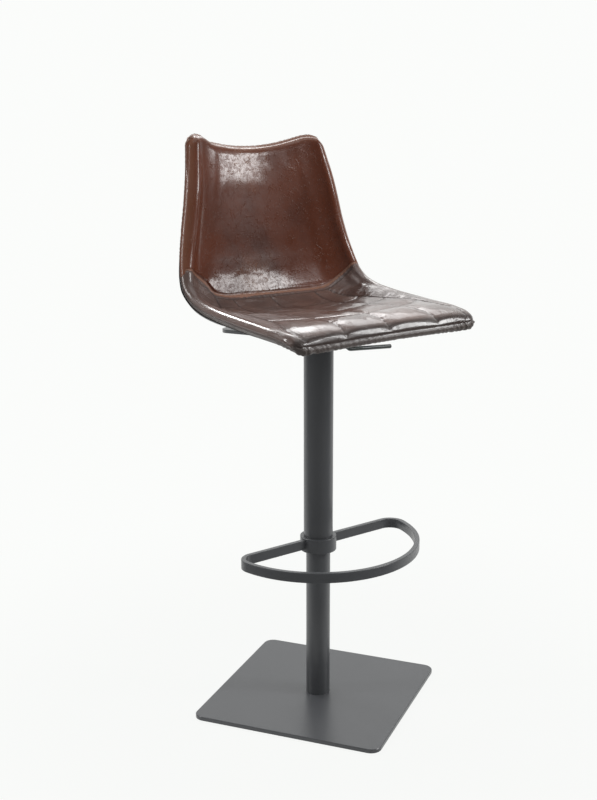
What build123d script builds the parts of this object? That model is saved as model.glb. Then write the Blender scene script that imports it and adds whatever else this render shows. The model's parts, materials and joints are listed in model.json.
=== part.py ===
from build123d import *
import math
import os

os.makedirs("parts", exist_ok=True)

# Height-adjustable swivel bar stool, millimetres. Origin on the floor at the column axis, +Z up,
# the sitter faces -Y. It stands fully raised, with the base plate turned as it is photographed.

# Fits shared by the whole stool
running_fit = 0.05          # radial play of a sliding or turning fit
seat_gap = 0.2              # gap between faces that only rest on each other
overrun = 5.0               # how far a cutter runs past what it cuts

# Base plate and its glides
base_side = 400.0
base_thickness = 8.0
base_corner = 22.0
base_bevel = 1.2
base_turn = 31.4            # degrees from the seat to the base plate
glide_height = 2.0
glide_diameter = 32.0
glide_inset = 40.0

# Column welded on the base plate
column_diameter = 50.0
column_wall = 2.0
column_height = 455.0
foot_height = 25.0
base_bolt_circle = 34.0
base_bolt_count = 4
bolt_diameter = 8.0
bolt_head_diameter = 15.0
bolt_head_height = 4.4
bolt_length = 24.0
bolt_socket = 5.0
bolt_socket_depth = 3.0

# Guide bush pressed in the top of the column
bush_length = 70.0
bush_flange = 3.0
cylinder_diameter = 28.0

# Piston rod, its clip and its stop
rod_diameter = 10.0
rod_neck_diameter = 8.0
rod_end_reach = 5.6
clip_thickness = 2.0
clip_diameter = 17.0
clip_pocket_diameter = 22.0
clip_slot = 5.0
clip_groove_depth = 1.0
stop_diameter = 24.0
stop_height = 14.0

# Thrust bearing between the column foot and the rod
race_diameter = 34.0
race_bore = 8.6
race_thickness = 2.2
race_groove = 0.6
ball_diameter = 4.0
ball_count = 10
ball_circle = 23.0
cage_thickness = 1.2
cage_width = 7.0

# Gas cylinder
cylinder_bottom = 296.0
cylinder_top = 762.0
cylinder_wall = 2.0
taper_length = 60.0
taper_drop = 0.9            # how much the radius shrinks along the taper
gland_height = 22.0
seal_height = 4.0
piston_height = 14.0
piston_ring_height = 3.0
piston_ring_depth = 1.5
piston_nut_height = 4.0
piston_nut_width = 16.0
piston_play = 0.15
valve_height = 22.0
pin_diameter = 8.0
pin_length = 27.0
pin_proud = 9.0
pin_travel = 4.2

# Sleeve over the column, with its guide ring
sleeve_diameter = 60.0
sleeve_wall = 2.0
sleeve_bottom = 333.0
sleeve_top = 755.0
guide_ring_height = 34.0

# Footrest
collar_diameter = 75.0
collar_height = 30.0
collar_bottom = 331.0
collar_edge = 1.2
set_screw_diameter = 8.0
set_screw_spread = 70.0     # degrees between the two set screws
set_screw_socket = 4.0
footrest_radius = 209.0
footrest_bar_width = 10.0
footrest_bar_height = 20.0
footrest_corner = 34.0
footrest_edge = 1.0
footrest_level = 338.0

# Seat mechanism under the pan
plate_width = 280.0
plate_length = 270.0
plate_offset = 32.0         # from the column axis back to the middle of the plate
plate_thickness = 3.0
plate_corner = 45.0
plate_level = 803.0         # top face at the column axis
plate_tilt = -6.0           # degrees, the rear lower
plate_lip = 7.0
window_width = 34.0
window_length = 190.0
window_corner = 15.0
window_margin = 13.0
channel_length = 92.0
channel_width = 72.0
channel_thickness = 4.0
hub_diameter = 44.0
hub_length = 56.0

# Height lever
lever_diameter = 9.0
lever_pivot_x = 30.0
lever_knee_x = 38.0
lever_bend_x = 80.0
lever_bend_z = 743.0
lever_tip_x = 190.0
lever_tip_z = 735.0
lever_inner_reach = 6.0
lever_bend_radius = 12.0
lever_hub_diameter = 14.0
lever_pin_diameter = 6.0
lever_pin_head = 10.0
lever_pin_head_height = 3.0
lever_gap = 0.3

# Seat form
seat_width = 444.0
seat_depth = 438.0
seat_front = -217.0
pan_height = 818.0
back_height = 342.0
form_thickness = 23.0
edge_roll = 10.0
wing_rise = 52.0
shell_thickness = 9.0
cover_thickness = 2.2
layer_gap = 0.3
rim_width = 9.0
notch_level = 1138.0
notch_half_width = 116.0
ear_rise = 22.0
ear_side = 177.0
ear_side_drop = 28.0
top_roll = 8.0

# Seam between the back and the pan, in a plane across the bend
seam_tilt = 45.0            # degrees
seam_level = 710.0
seam_corner_x = 138.0
seam_corner_drop = 5.5
seam_end_x = 232.0
seam_end_rise = 50.0
seam_bow = 8.0

# Quilting of the pan
quilt_width = 2.4
quilt_depth = 3.0
quilt_pitch_back = 100.0
quilt_pitch_front = 113.0
quilt_back = 150.0
quilt_row_front = -128.0
quilt_row_pitch = 72.0
quilt_row_bow = 55.0
quilt_row_end = 4.0
quilt_row_shares = (0.0, 0.5, 1.0)
side_seam_front = 210.0

# Fasteners of the seat
seat_bolt_diameter = 6.0
seat_bolt_spacing = 160.0
seat_bolt_head = 12.0
seat_bolt_head_height = 3.5
seat_bolt_socket = 4.0
washer_diameter = 18.0
washer_thickness = 1.5
tee_nut_barrel = 8.0
tee_nut_length = 7.5
tee_nut_recess = 0.6
tee_nut_flange = 19.0
tee_nut_flange_thickness = 1.4
spacer_diameter = 22.0

# Levels that follow from the sizes above
plate_bottom = glide_height
plate_top = plate_bottom + base_thickness
column_top = plate_top + column_height
foot_top = plate_top + foot_height
column_bore = column_diameter - 2 * column_wall
ball_radius = ball_diameter / 2
lower_race_top = foot_top + race_thickness
ball_level = lower_race_top - race_groove + ball_radius + running_fit
upper_race_bottom = ball_level + ball_radius + running_fit - race_groove
upper_race_top = upper_race_bottom + race_thickness
gland_top = cylinder_bottom + cylinder_wall + gland_height
piston_bottom = gland_top + seal_height + clip_thickness
piston_top = piston_bottom + piston_height
cylinder_bore = cylinder_diameter - 2 * cylinder_wall
sleeve_bore = sleeve_diameter - 2 * sleeve_wall
pin_top = cylinder_top + pin_proud
pin_bottom = pin_top - pin_length
lever_level = pin_top + lever_gap + lever_diameter / 2
channel_top = sleeve_top + channel_thickness


# Small helpers
def disc(radius, low, high, x=0.0, y=0.0):
    return Pos(x, y, low) * Cylinder(radius, high - low, align=(Align.CENTER, Align.CENTER, Align.MIN))


def ring(outer, inner, low, high):
    return disc(outer, low, high) - disc(inner, low - overrun, high + overrun)


def block(x0, x1, y0, y1, z0, z1):
    corner = (Align.MIN, Align.MIN, Align.MIN)
    return Pos(x0, y0, z0) * Box(x1 - x0, y1 - y0, z1 - z0, align=corner)


def around(count, radius, phase=0.0):
    steps = [math.radians(phase + 360 * i / count) for i in range(count)]
    return [(radius * math.cos(a), radius * math.sin(a)) for a in steps]


def hexagon(width, low, high, x=0.0, y=0.0):
    flat = RegularPolygon(width / 2, 6, major_radius=False)
    return Pos(x, y, low) * extrude(flat, high - low)


def save(name, *shapes):
    solids = [s for shape in shapes for s in shape.solids()]
    piece = solids[0] if len(solids) == 1 else Compound(children=solids)
    piece.label = name
    export_step(piece, f"parts/{name}.step")


# Base: plate, glides, column, foot plug and its screws
base_place = Rot(0, 0, base_turn)
bolt_spots = around(base_bolt_count, base_bolt_circle / 2, 45)


def base_plate():
    outline = RectangleRounded(base_side, base_side, base_corner)
    plate = Pos(0, 0, plate_bottom) * extrude(outline, base_thickness)
    plate = chamfer(plate.faces().sort_by(Axis.Z)[-1].edges(), base_bevel)
    plate -= disc(clip_pocket_diameter / 2, plate_bottom - overrun, plate_top + overrun)
    for x, y in bolt_spots:
        plate -= disc(bolt_diameter / 2 + seat_gap, plate_bottom - overrun, plate_top + overrun, x, y)
        plate -= screw_head(x, y, seat_gap)
    return base_place * plate


def screw_head(x, y, gap=0.0):
    slope = Cone(bolt_head_diameter / 2 + gap, bolt_diameter / 2 + gap, bolt_head_height,
                 align=(Align.CENTER, Align.CENTER, Align.MIN))
    return Pos(x, y, plate_bottom) * slope


def base_glides():
    reach = base_side / 2 - glide_inset
    pads = [disc(glide_diameter / 2, 0, glide_height, i * reach, j * reach) for i in (-1, 1) for j in (-1, 1)]
    return [base_place * pad for pad in pads]


def base_bolts():
    screws = []
    for x, y in bolt_spots:
        screw = disc(bolt_diameter / 2 - running_fit, plate_bottom, plate_bottom + bolt_length, x, y)
        screw += screw_head(x, y)
        screw -= hexagon(bolt_socket, plate_bottom - overrun, plate_bottom + bolt_socket_depth, x, y)
        screws.append(base_place * screw)
    return screws


def column_foot():
    plug = disc(column_bore / 2, plate_top, foot_top)
    plug -= disc(rod_neck_diameter / 2 + running_fit, plate_top - overrun, foot_top + overrun)
    for x, y in bolt_spots:
        plug -= disc(bolt_diameter / 2, plate_top - overrun, plate_bottom + bolt_length + seat_gap, x, y)
    return base_place * plug


def column_tube():
    return ring(column_diameter / 2, column_bore / 2, plate_top, column_top)


def column_guide_bush():
    bush = disc(column_bore / 2, column_top - bush_length, column_top)
    bush += disc(column_diameter / 2, column_top, column_top + bush_flange)
    bore = disc(cylinder_diameter / 2 + running_fit, column_top - bush_length - overrun, column_top + overrun)
    return bush - bore


# Thrust bearing: two grooved races, the cage and its balls
def groove_ring():
    section = Pos(ball_circle / 2, ball_level) * Circle(ball_radius + running_fit)
    return revolve(Plane.XZ * section, Axis.Z)


def bearing_race(low):
    race = ring(race_diameter / 2, race_bore / 2, low, low + race_thickness)
    return race - groove_ring()


def bearing_cage():
    low = ball_level - cage_thickness / 2
    cage = ring((ball_circle + cage_width) / 2, (ball_circle - cage_width) / 2, low, low + cage_thickness)
    for x, y in around(ball_count, ball_circle / 2):
        cage -= Pos(x, y, ball_level) * Sphere(ball_radius + running_fit)
    return cage


def bearing_balls():
    return [Pos(x, y, ball_level) * Sphere(ball_radius) for x, y in around(ball_count, ball_circle / 2)]


# Piston rod with its clip, stop and piston
clip_top = plate_top - seat_gap
clip_bottom = clip_top - clip_thickness
neck_radius = rod_neck_diameter / 2


def piston_rod():
    rod = disc(neck_radius, clip_bottom - rod_end_reach + clip_thickness, upper_race_top)
    rod += disc(rod_diameter / 2, upper_race_top, piston_bottom)
    rod += disc(neck_radius, piston_bottom, piston_top + piston_nut_height)
    return rod - ring(neck_radius + overrun, neck_radius - clip_groove_depth, clip_bottom, clip_top)


def rod_clip():
    clip = ring(clip_diameter / 2, neck_radius - clip_groove_depth + running_fit, clip_bottom, clip_top)
    return clip - block(0, clip_diameter, -clip_slot / 2, clip_slot / 2, clip_bottom - overrun, clip_top + overrun)


def bump_stop():
    bottom = upper_race_top
    stop = ring(stop_diameter / 2, rod_diameter / 2 + running_fit, bottom, bottom + stop_height)
    return fillet(stop.edges().filter_by(GeomType.CIRCLE).sort_by(Axis.Z)[-1], clip_thickness / 2)


def rod_piston():
    radius = cylinder_bore / 2 - piston_play
    piston = ring(radius, neck_radius + running_fit, piston_bottom, piston_top)
    middle = (piston_bottom + piston_top) / 2
    groove = ring(radius + overrun, radius - piston_ring_depth, middle - piston_ring_height / 2,
                  middle + piston_ring_height / 2)
    return piston - groove


def piston_ring():
    middle = (piston_bottom + piston_top) / 2
    half = piston_ring_height / 2 - running_fit
    inner = cylinder_bore / 2 - piston_play - piston_ring_depth + running_fit
    return ring(cylinder_bore / 2 - running_fit, inner, middle - half, middle + half)


def piston_nut():
    nut = hexagon(piston_nut_width, piston_top, piston_top + piston_nut_height)
    return nut - disc(neck_radius + running_fit, piston_top - overrun, piston_top + piston_nut_height + overrun)


# Gas cylinder with its tapered head, gland, valve and release pin
taper_bottom = cylinder_top - taper_length
taper_radius = cylinder_diameter / 2 - taper_drop
cylinder_floor = cylinder_top - cylinder_wall * 2


def taper_plug(gap=0.0):
    foot, head = cylinder_diameter / 2 + gap, taper_radius + gap
    return Pos(0, 0, taper_bottom) * Cone(foot, head, taper_length, align=(Align.CENTER, Align.CENTER, Align.MIN))


def gas_cylinder():
    tube = disc(cylinder_diameter / 2, cylinder_bottom, taper_bottom) + taper_plug()
    tube -= disc(cylinder_bore / 2, cylinder_bottom + cylinder_wall, cylinder_floor)
    tube -= disc(rod_diameter / 2 + seat_gap, cylinder_bottom - overrun, cylinder_bottom + overrun)
    return tube - disc(pin_diameter / 2 + seat_gap, cylinder_floor - overrun, cylinder_top + overrun)


def cylinder_gland():
    bottom = cylinder_bottom + cylinder_wall
    return ring(cylinder_bore / 2, rod_diameter / 2 + running_fit, bottom, gland_top)


def rod_seal():
    return ring(cylinder_bore / 2 - running_fit, rod_diameter / 2 + running_fit, gland_top, gland_top + seal_height)


def valve_body():
    bottom = cylinder_floor - valve_height
    valve = disc(cylinder_bore / 2, bottom, cylinder_floor)
    return valve - disc(pin_diameter / 2 + running_fit, pin_bottom - pin_travel - seat_gap, cylinder_floor + overrun)


def release_pin():
    pin = disc(pin_diameter / 2, pin_bottom, pin_top)
    return fillet(pin.edges().sort_by(Axis.Z)[-1], pin_diameter / 8)


# Sleeve, guide ring and footrest
def sleeve_tube():
    return ring(sleeve_diameter / 2, sleeve_bore / 2, sleeve_bottom, sleeve_top)


def sleeve_guide_ring():
    top = sleeve_bottom + guide_ring_height
    return ring(sleeve_bore / 2, column_diameter / 2 + running_fit, sleeve_bottom, top)


collar_middle = collar_bottom + collar_height / 2
screw_angles = [90 + side * set_screw_spread / 2 for side in (-1, 1)]


def screw_axis(angle):
    return Rot(0, 0, angle) * Pos(0, 0, collar_middle) * Rot(0, 90, 0)


def footrest_collar():
    body = disc(collar_diameter / 2, collar_bottom, collar_bottom + collar_height)
    rims = [body.faces().sort_by(Axis.Z)[i].edges() for i in (0, -1)]
    body = fillet(rims[0] + rims[1], collar_edge)
    body -= disc(sleeve_diameter / 2, collar_bottom - overrun, collar_bottom + collar_height + overrun)
    for angle in screw_angles:
        body -= screw_axis(angle) * disc(set_screw_diameter / 2 + running_fit, 0, collar_diameter)
    return body


def collar_set_screws():
    screws = []
    for angle in screw_angles:
        screw = disc(set_screw_diameter / 2, sleeve_diameter / 2 + seat_gap, collar_diameter / 2 - collar_edge)
        screw -= hexagon(set_screw_socket, collar_diameter / 2 - set_screw_socket, collar_diameter / 2 + overrun)
        screws.append(screw_axis(angle) * screw)
    return screws


def loop_outline(inset):
    # A half circle in front, closed by a straight bar through the column axis, with round corners
    radius = footrest_radius - inset
    back = footrest_bar_width / 2 - inset
    corner = footrest_corner - inset
    centre_y = back - corner
    centre_x = math.sqrt((radius - corner) ** 2 - centre_y ** 2)
    lean = math.atan2(centre_y, centre_x)
    touch = (radius * math.cos(lean), radius * math.sin(lean))
    swing = (lean + math.pi / 2) / 2
    elbow = (centre_x + corner * math.cos(swing), centre_y + corner * math.sin(swing))
    start = (centre_x, back)
    quarter = (lean - math.pi / 2) / 2
    side = (radius * math.cos(quarter), radius * math.sin(quarter))
    front = (0, -radius)
    mirror = lambda p: (-p[0], p[1])
    edges = [
        Line(mirror(start), start),
        ThreePointArc(start, elbow, touch),
        ThreePointArc(touch, side, front),
        ThreePointArc(front, mirror(side), mirror(touch)),
        ThreePointArc(mirror(touch), mirror(elbow), mirror(start)),
    ]
    return make_face(edges)


def footrest_loop():
    flat = loop_outline(0) - loop_outline(footrest_bar_width)
    bar = extrude(flat, footrest_bar_height)
    rims = bar.faces().sort_by(Axis.Z)
    bar = chamfer(rims[0].edges() + rims[-1].edges(), footrest_edge)
    bar = Pos(0, 0, footrest_level) * bar
    return bar - disc(collar_diameter / 2, collar_bottom - overrun, collar_bottom + collar_height + overrun)


# Seat mechanism: the mount plate lies parallel to the pan, its channel and hub stand plumb
plate_frame = Pos(0, 0, plate_level) * Rot(plate_tilt, 0, 0)
bolt_reach = seat_bolt_spacing / 2
seat_bolt_spots = [(i * bolt_reach, j * bolt_reach) for i in (-1, 1) for j in (-1, 1)]


def plate_outline(inset):
    width, length = plate_width - 2 * inset, plate_length - 2 * inset
    return Pos(0, plate_offset) * RectangleRounded(width, length, plate_corner - inset)


def mount_plate():
    # A pressed sheet with a lip all round and a long window along each side
    sheet = Pos(0, 0, -plate_thickness) * extrude(plate_outline(0), plate_thickness)
    lip = plate_outline(0) - plate_outline(plate_thickness)
    sheet += Pos(0, 0, -plate_lip) * extrude(lip, plate_lip)
    window = RectangleRounded(window_width, window_length, window_corner)
    for side in (-1, 1):
        x = side * (plate_width / 2 - window_margin - window_width / 2)
        sheet -= Pos(x, plate_offset, -plate_lip - overrun) * extrude(window, plate_lip + 2 * overrun)
    for x, y in seat_bolt_spots:
        sheet -= disc(seat_bolt_diameter / 2 + seat_gap, -plate_lip - overrun, overrun, x, y)
    return plate_frame * sheet


def under_plate(shape):
    # Keep what lies below the plate's under face
    reach = 2 * plate_length
    above = Pos(0, 0, -plate_thickness) * Box(reach, reach, reach, align=(Align.CENTER, Align.CENTER, Align.MIN))
    return shape - plate_frame * above


def lever_channel():
    half_length, half_width = channel_length / 2, channel_width / 2
    high = plate_level + plate_length
    body = block(-half_length, half_length, -half_width, half_width, sleeve_top, high)
    inner = half_width - channel_thickness
    body -= block(-half_length - overrun, half_length + overrun, -inner, inner, channel_top, high + overrun)
    body -= disc(taper_radius + seat_gap + taper_drop, sleeve_top - overrun, channel_top + overrun)
    pin_bore = Pos(lever_pivot_x, 0, lever_level) * Rot(90, 0, 0) * Cylinder(
        lever_pin_diameter / 2 + running_fit, channel_width + 2 * overrun)
    return under_plate(body - pin_bore)


def taper_hub():
    hub = disc(hub_diameter / 2, sleeve_top - hub_length, sleeve_top)
    return hub - taper_plug(running_fit) - disc(cylinder_diameter / 2 + running_fit,
                                                 sleeve_top - hub_length - overrun, taper_bottom)


def along_y(shape):
    return Pos(lever_pivot_x, 0, lever_level) * Rot(90, 0, 0) * shape


def lever_pin():
    half = channel_width / 2
    pin = disc(lever_pin_diameter / 2, -half - lever_pin_head_height, half + lever_pin_head_height)
    pin += disc(lever_pin_head / 2, half + seat_gap, half + lever_pin_head_height)
    return along_y(pin)


def lever_pin_clip():
    half = channel_width / 2
    clip = ring(lever_pin_head / 2, lever_pin_diameter / 2 + running_fit, -half - lever_pin_head_height / 2,
                -half - seat_gap)
    return along_y(clip)


def height_lever():
    path = FilletPolyline(
        (-lever_inner_reach, 0, lever_level),
        (lever_knee_x, 0, lever_level),
        (lever_bend_x, 0, lever_bend_z),
        (lever_tip_x, 0, lever_tip_z),
        radius=lever_bend_radius)
    start = Plane(origin=path @ 0, z_dir=path % 0)
    rod = sweep(start * Circle(lever_diameter / 2), path)
    rod = fillet(rod.faces().sort_by(Axis.X)[-1].edges(), lever_diameter / 5)
    inner = channel_width / 2 - channel_thickness - lever_gap
    rod += along_y(disc(lever_hub_diameter / 2, -inner, inner))
    return rod - along_y(disc(lever_pin_diameter / 2 + running_fit, -inner - overrun, inner + overrun))


# Seat form. Each station lies across the seat, from the front edge of the pan round the bend to the
# top of the back: place along depth and height, tilt of its plane in degrees, half width, rise of the
# wing, half width and rise of the middle, thickness and edge roll.
station_shares = [
    (0.000, 0.010, 0, 0.465, -0.02, 0.55, -0.02, 0.52, 0.45),
    (0.011, 0.032, 0, 0.482, -0.05, 0.55, -0.03, 0.86, 0.85),
    (0.043, 0.058, 0, 0.494, -0.09, 0.55, -0.04, 1.0, 1.0),
    (0.119, 0.075, 0, 0.500, -0.12, 0.56, -0.05, 1.0, 1.0),
    (0.267, 0.064, 0, 0.500, 0.00, 0.58, 0.02, 1.0, 1.0),
    (0.427, 0.045, 0, 0.500, 0.18, 0.60, 0.04, 1.0, 1.0),
    (0.575, 0.023, 0, 0.500, 0.40, 0.62, 0.08, 1.0, 1.0),
    (0.701, 0.004, 7, 0.500, 0.65, 0.62, 0.12, 1.0, 1.0),
    (0.804, 0.015, 22, 0.498, 0.84, 0.62, 0.16, 1.0, 1.0),
    (0.888, 0.070, 36, 0.495, 0.96, 0.62, 0.18, 1.0, 1.0),
    (0.929, 0.158, 49, 0.489, 0.94, 0.60, 0.18, 1.08, 1.0),
    (0.950, 0.284, 64, 0.475, 0.82, 0.58, 0.17, 1.18, 1.0),
    (0.963, 0.459, 78, 0.448, 0.72, 0.56, 0.16, 1.26, 1.0),
    (0.975, 0.649, 84, 0.418, 0.70, 0.54, 0.16, 1.30, 1.0),
    (0.984, 0.825, 86, 0.391, 0.60, 0.54, 0.14, 1.30, 1.0),
    (0.991, 0.971, 86, 0.369, 0.42, 0.55, 0.10, 1.30, 1.0),
    (0.995, 1.058, 86, 0.354, 0.30, 0.55, 0.07, 1.30, 1.0),
]


def toward(angle):
    return Vector(math.cos(angle), math.sin(angle))


def beside(angle):
    return Vector(math.sin(angle), -math.cos(angle))


def mirrored(points):
    return [Vector(-p.X, p.Y) for p in reversed(points)]


def arc_or_line(start, middle, end):
    chord = end - start
    bulge = abs(chord.cross(middle - start).Z) / chord.length
    straight = bulge / chord.length < 1e-4
    return Line(start, end) if straight else ThreePointArc(start, middle, end)


class Station:
    # The upper line of a section: a middle arc, a wing arc tangent to it and a roll round the edge
    def __init__(self, shares):
        along, up, tilt, width, rise, middle, middle_rise, thick, roll = shares
        lean = math.radians(tilt)
        self.plane = Plane(
            origin=(0, seat_front + seat_depth * along, pan_height + back_height * up),
            x_dir=(1, 0, 0),
            z_dir=(0, -math.cos(lean), -math.sin(lean)))
        self.roll = edge_roll * roll
        self.thickness = form_thickness * thick
        half = seat_width * width
        self.inner = Vector(half * middle, wing_rise * middle_rise)
        self.start = 2 * math.atan2(self.inner.Y, self.inner.X)
        self.pivot = Vector(half - self.roll, wing_rise * rise - self.roll)
        reach = self.inner - self.pivot
        across = toward(self.start + math.pi / 2)
        self.radius = (reach.dot(reach) - self.roll ** 2) / (2 * (self.roll - reach.dot(across)))
        self.centre = self.inner + across * self.radius
        edge = self.centre + (self.pivot - self.centre) * (self.radius / (self.radius + self.roll))
        spoke = (edge - self.centre) * (1 / self.radius)
        self.end = math.atan2(spoke.X, -spoke.Y)

    def wing(self, angle, depth):
        return self.centre + beside(angle) * (self.radius + depth)

    def rim(self, angle):
        return self.pivot - beside(angle) * self.roll

    def middle_arc(self, depth):
        side = self.wing(self.start, depth)
        return [Vector(-side.X, side.Y), Vector(0, -depth), side]

    def wing_arc(self, depth, end):
        return [self.wing(angle, depth) for angle in (self.start, (self.start + end) / 2, end)]

    def face(self, upper, right, lower):
        left = [mirrored(points) for points in reversed(right)]
        edges = [arc_or_line(*points) for points in [upper] + right + [mirrored(lower)] + left]
        return self.plane * make_face(edges)

    def full_face(self):
        down = -math.pi / 2
        roll_arc = [self.rim(angle) for angle in (self.end, (self.end + down) / 2, down)]
        low_wing = self.wing_arc(self.thickness, self.end)
        low_wing[2] += toward(self.end) * (self.roll / 2)
        chord = low_wing[2] - roll_arc[2]
        lean = math.atan2(chord.Y, chord.X)
        bow = chord.length / 2 * math.tan((lean - down) / 2)
        band = [roll_arc[2], (roll_arc[2] + low_wing[2]) * 0.5 + beside(lean) * bow, low_wing[2]]
        right = [self.wing_arc(0, self.end), roll_arc, band, low_wing[::-1]]
        return self.face(self.middle_arc(0), right, self.middle_arc(self.thickness))

    def layer_face(self, high, low, inset):
        # A layer between two heights above the under face, which ends square to the wing
        end = self.end - inset / self.radius
        top, under = self.thickness - high, self.thickness - low
        upper, lower = self.wing_arc(top, end), self.wing_arc(under, end)
        side = [upper[2], (upper[2] + lower[2]) * 0.5, lower[2]]
        return self.face(self.middle_arc(top), [upper, side, lower[::-1]], self.middle_arc(under))


stations = [Station(shares) for shares in station_shares]


def top_cutter(drop):
    # Everything above the notched top line of the back, lowered by drop
    ear_level = notch_level + ear_rise - drop
    swing = 2 * math.atan2(ear_rise, notch_half_width)
    side_level = ear_level - ear_side_drop
    high = notch_level + back_height
    ear, side = (notch_half_width, ear_level), (ear_side, side_level)
    edges = [
        ThreePointArc((-ear[0], ear[1]), (0, notch_level - drop), ear),
        TangentArc(ear, side, tangent=(math.cos(swing), math.sin(swing))),
        Polyline(side, (seat_width, side_level), (seat_width, high), (-seat_width, high),
                 (-seat_width, side_level), (-side[0], side_level)),
        TangentArc((-ear[0], ear[1]), (-side[0], side_level), tangent=(-math.cos(swing), math.sin(swing))),
    ]
    return extrude(Plane.XZ * make_face(edges), seat_depth, both=True)


def front_cutter(depth):
    edge = seat_front + depth
    return block(-seat_width, seat_width, edge - seat_depth, edge, 0, notch_level)


def seat_form():
    form = loft(sections=[station.full_face() for station in stations]) - top_cutter(0)
    ear_edges = [e for e in form.edges() if e.bounding_box().min.Z > notch_level - ear_side_drop
                 and e.bounding_box().size.X > ear_rise]
    return fillet(ear_edges, top_roll)


def layer(high, low, inset, rim):
    # A sheet that follows the under face of the form, held back from its front and top by the rim
    body = loft(sections=[station.layer_face(high, low, inset) for station in stations[1:]])
    return body - top_cutter(rim) - front_cutter(rim)


shell_low = cover_thickness + layer_gap
shell_high = shell_low + shell_thickness
pocket_inset = rim_width - edge_roll / 2


def shell_pocket():
    return layer(shell_high + layer_gap, -overrun, pocket_inset, rim_width)


def seam_prism():
    # Everything behind the seam between the pan and the back
    lean = math.radians(seam_tilt)
    across = Plane(origin=(0, 0, 0), x_dir=(1, 0, 0), z_dir=(0, -math.sin(lean), math.cos(lean)))
    corner = (seam_corner_x, seam_level - seam_corner_drop)
    end = (seam_end_x, corner[1] + seam_end_rise)
    middle = ((corner[0] + end[0]) / 2 + seam_bow / 2, (corner[1] + end[1]) / 2 - seam_bow)
    high = seam_level + notch_level
    edges = [
        ThreePointArc((-corner[0], corner[1]), (0, seam_level), corner),
        ThreePointArc(corner, middle, end),
        Polyline(end, (end[0], high), (-end[0], high), (-end[0], end[1])),
        ThreePointArc((-corner[0], corner[1]), (-middle[0], middle[1]), (-end[0], end[1])),
    ]
    return extrude(across * make_face(edges), notch_level, both=True)


def strip(start, end, bow, width):
    # A sewing line seen from above, bowed to the rear at its ends
    along = Vector(end) - Vector(start)
    side = Vector(-along.Y, along.X).normalized() * (width / 2)
    middle = (Vector(start) + Vector(end)) * 0.5
    middle -= Vector(0, bow)
    left = [Vector(start) + side, middle + side, Vector(end) + side]
    right = [Vector(end) - side, middle - side, Vector(start) - side]
    edges = [arc_or_line(*left), Line(left[2], right[0]), arc_or_line(*right), Line(right[2], left[0])]
    wall = extrude(make_face(edges), back_height)
    return Pos(0, 0, pan_height - form_thickness) * wall


def quilt_lines():
    lines = []
    for i in (-1, 0, 1):
        back = (i * quilt_pitch_back, quilt_back)
        front = (i * quilt_pitch_front, seat_front - overrun)
        lines.append(strip(back, front, 0, quilt_width))
    for share in quilt_row_shares:
        y = quilt_row_front + quilt_row_pitch * share * (len(quilt_row_shares) - 1)
        bow = quilt_row_bow * share + quilt_width
        half = side_seam_front - (side_seam_front - seam_corner_x) * (y - seat_front) / seat_depth
        half -= quilt_row_end
        lines.append(strip((-half, y + bow), (half, y + bow), bow, quilt_width))
    for i in (-1, 1):
        start = (i * seam_corner_x, quilt_back)
        end = (i * side_seam_front, seat_front + edge_roll * 2)
        lines.append(strip(start, end, 0, quilt_width))
    return lines


def quilt_grooves():
    floor = loft(sections=[s.layer_face(s.thickness - quilt_depth, -overrun, 0) for s in stations])
    grooves = quilt_lines()
    return [groove - floor for groove in grooves]


# Where the seat is bolted: heights are taken in the plate's own frame, at each bolt
def height_at(body, x, y):
    core = plate_frame * disc(layer_gap, -back_height, back_height, x, y) & body
    box = (plate_frame.inverse() * core).bounding_box()
    return box.min.Z, box.max.Z


def bolt_stack(shell):
    stacks = []
    for x, y in seat_bolt_spots:
        top = height_at(shell, x, y)[1] - tee_nut_recess
        stacks.append((x, y, top))
    return stacks


def on_plate(parts):
    return [plate_frame * part for part in parts]


def seat_bolt(x, y, top):
    low = -plate_thickness - washer_thickness
    bolt = disc(seat_bolt_diameter / 2, low, top, x, y)
    bolt += disc(seat_bolt_head / 2, low - seat_bolt_head_height, low, x, y)
    socket = hexagon(seat_bolt_socket, low - seat_bolt_head_height - overrun, low - seat_bolt_head_height / 2, x, y)
    return bolt - socket


def seat_washer(x, y):
    low = -plate_thickness - washer_thickness
    bore = disc(seat_bolt_diameter / 2 + seat_gap, low - overrun, overrun, x, y)
    return disc(washer_diameter / 2, low, -plate_thickness, x, y) - bore


def tee_nut(x, y, top):
    nut = disc(tee_nut_flange / 2, top - tee_nut_flange_thickness, top, x, y)
    nut += disc(tee_nut_barrel / 2, top - tee_nut_length, top, x, y)
    return nut - disc(seat_bolt_diameter / 2 + running_fit, -overrun, top + overrun, x, y)


def tee_nut_pocket(x, y, top):
    low = top - tee_nut_flange_thickness
    pocket = disc(tee_nut_barrel / 2 + running_fit, -plate_lip, top, x, y)
    return pocket + disc(tee_nut_flange / 2 + layer_gap, low, top + tee_nut_recess + layer_gap, x, y)


def seat_spacer(x, y, top):
    bore = disc(seat_bolt_diameter / 2 + seat_gap, -overrun, top + overrun, x, y)
    return disc(spacer_diameter / 2, 0, top, x, y) - bore


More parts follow.
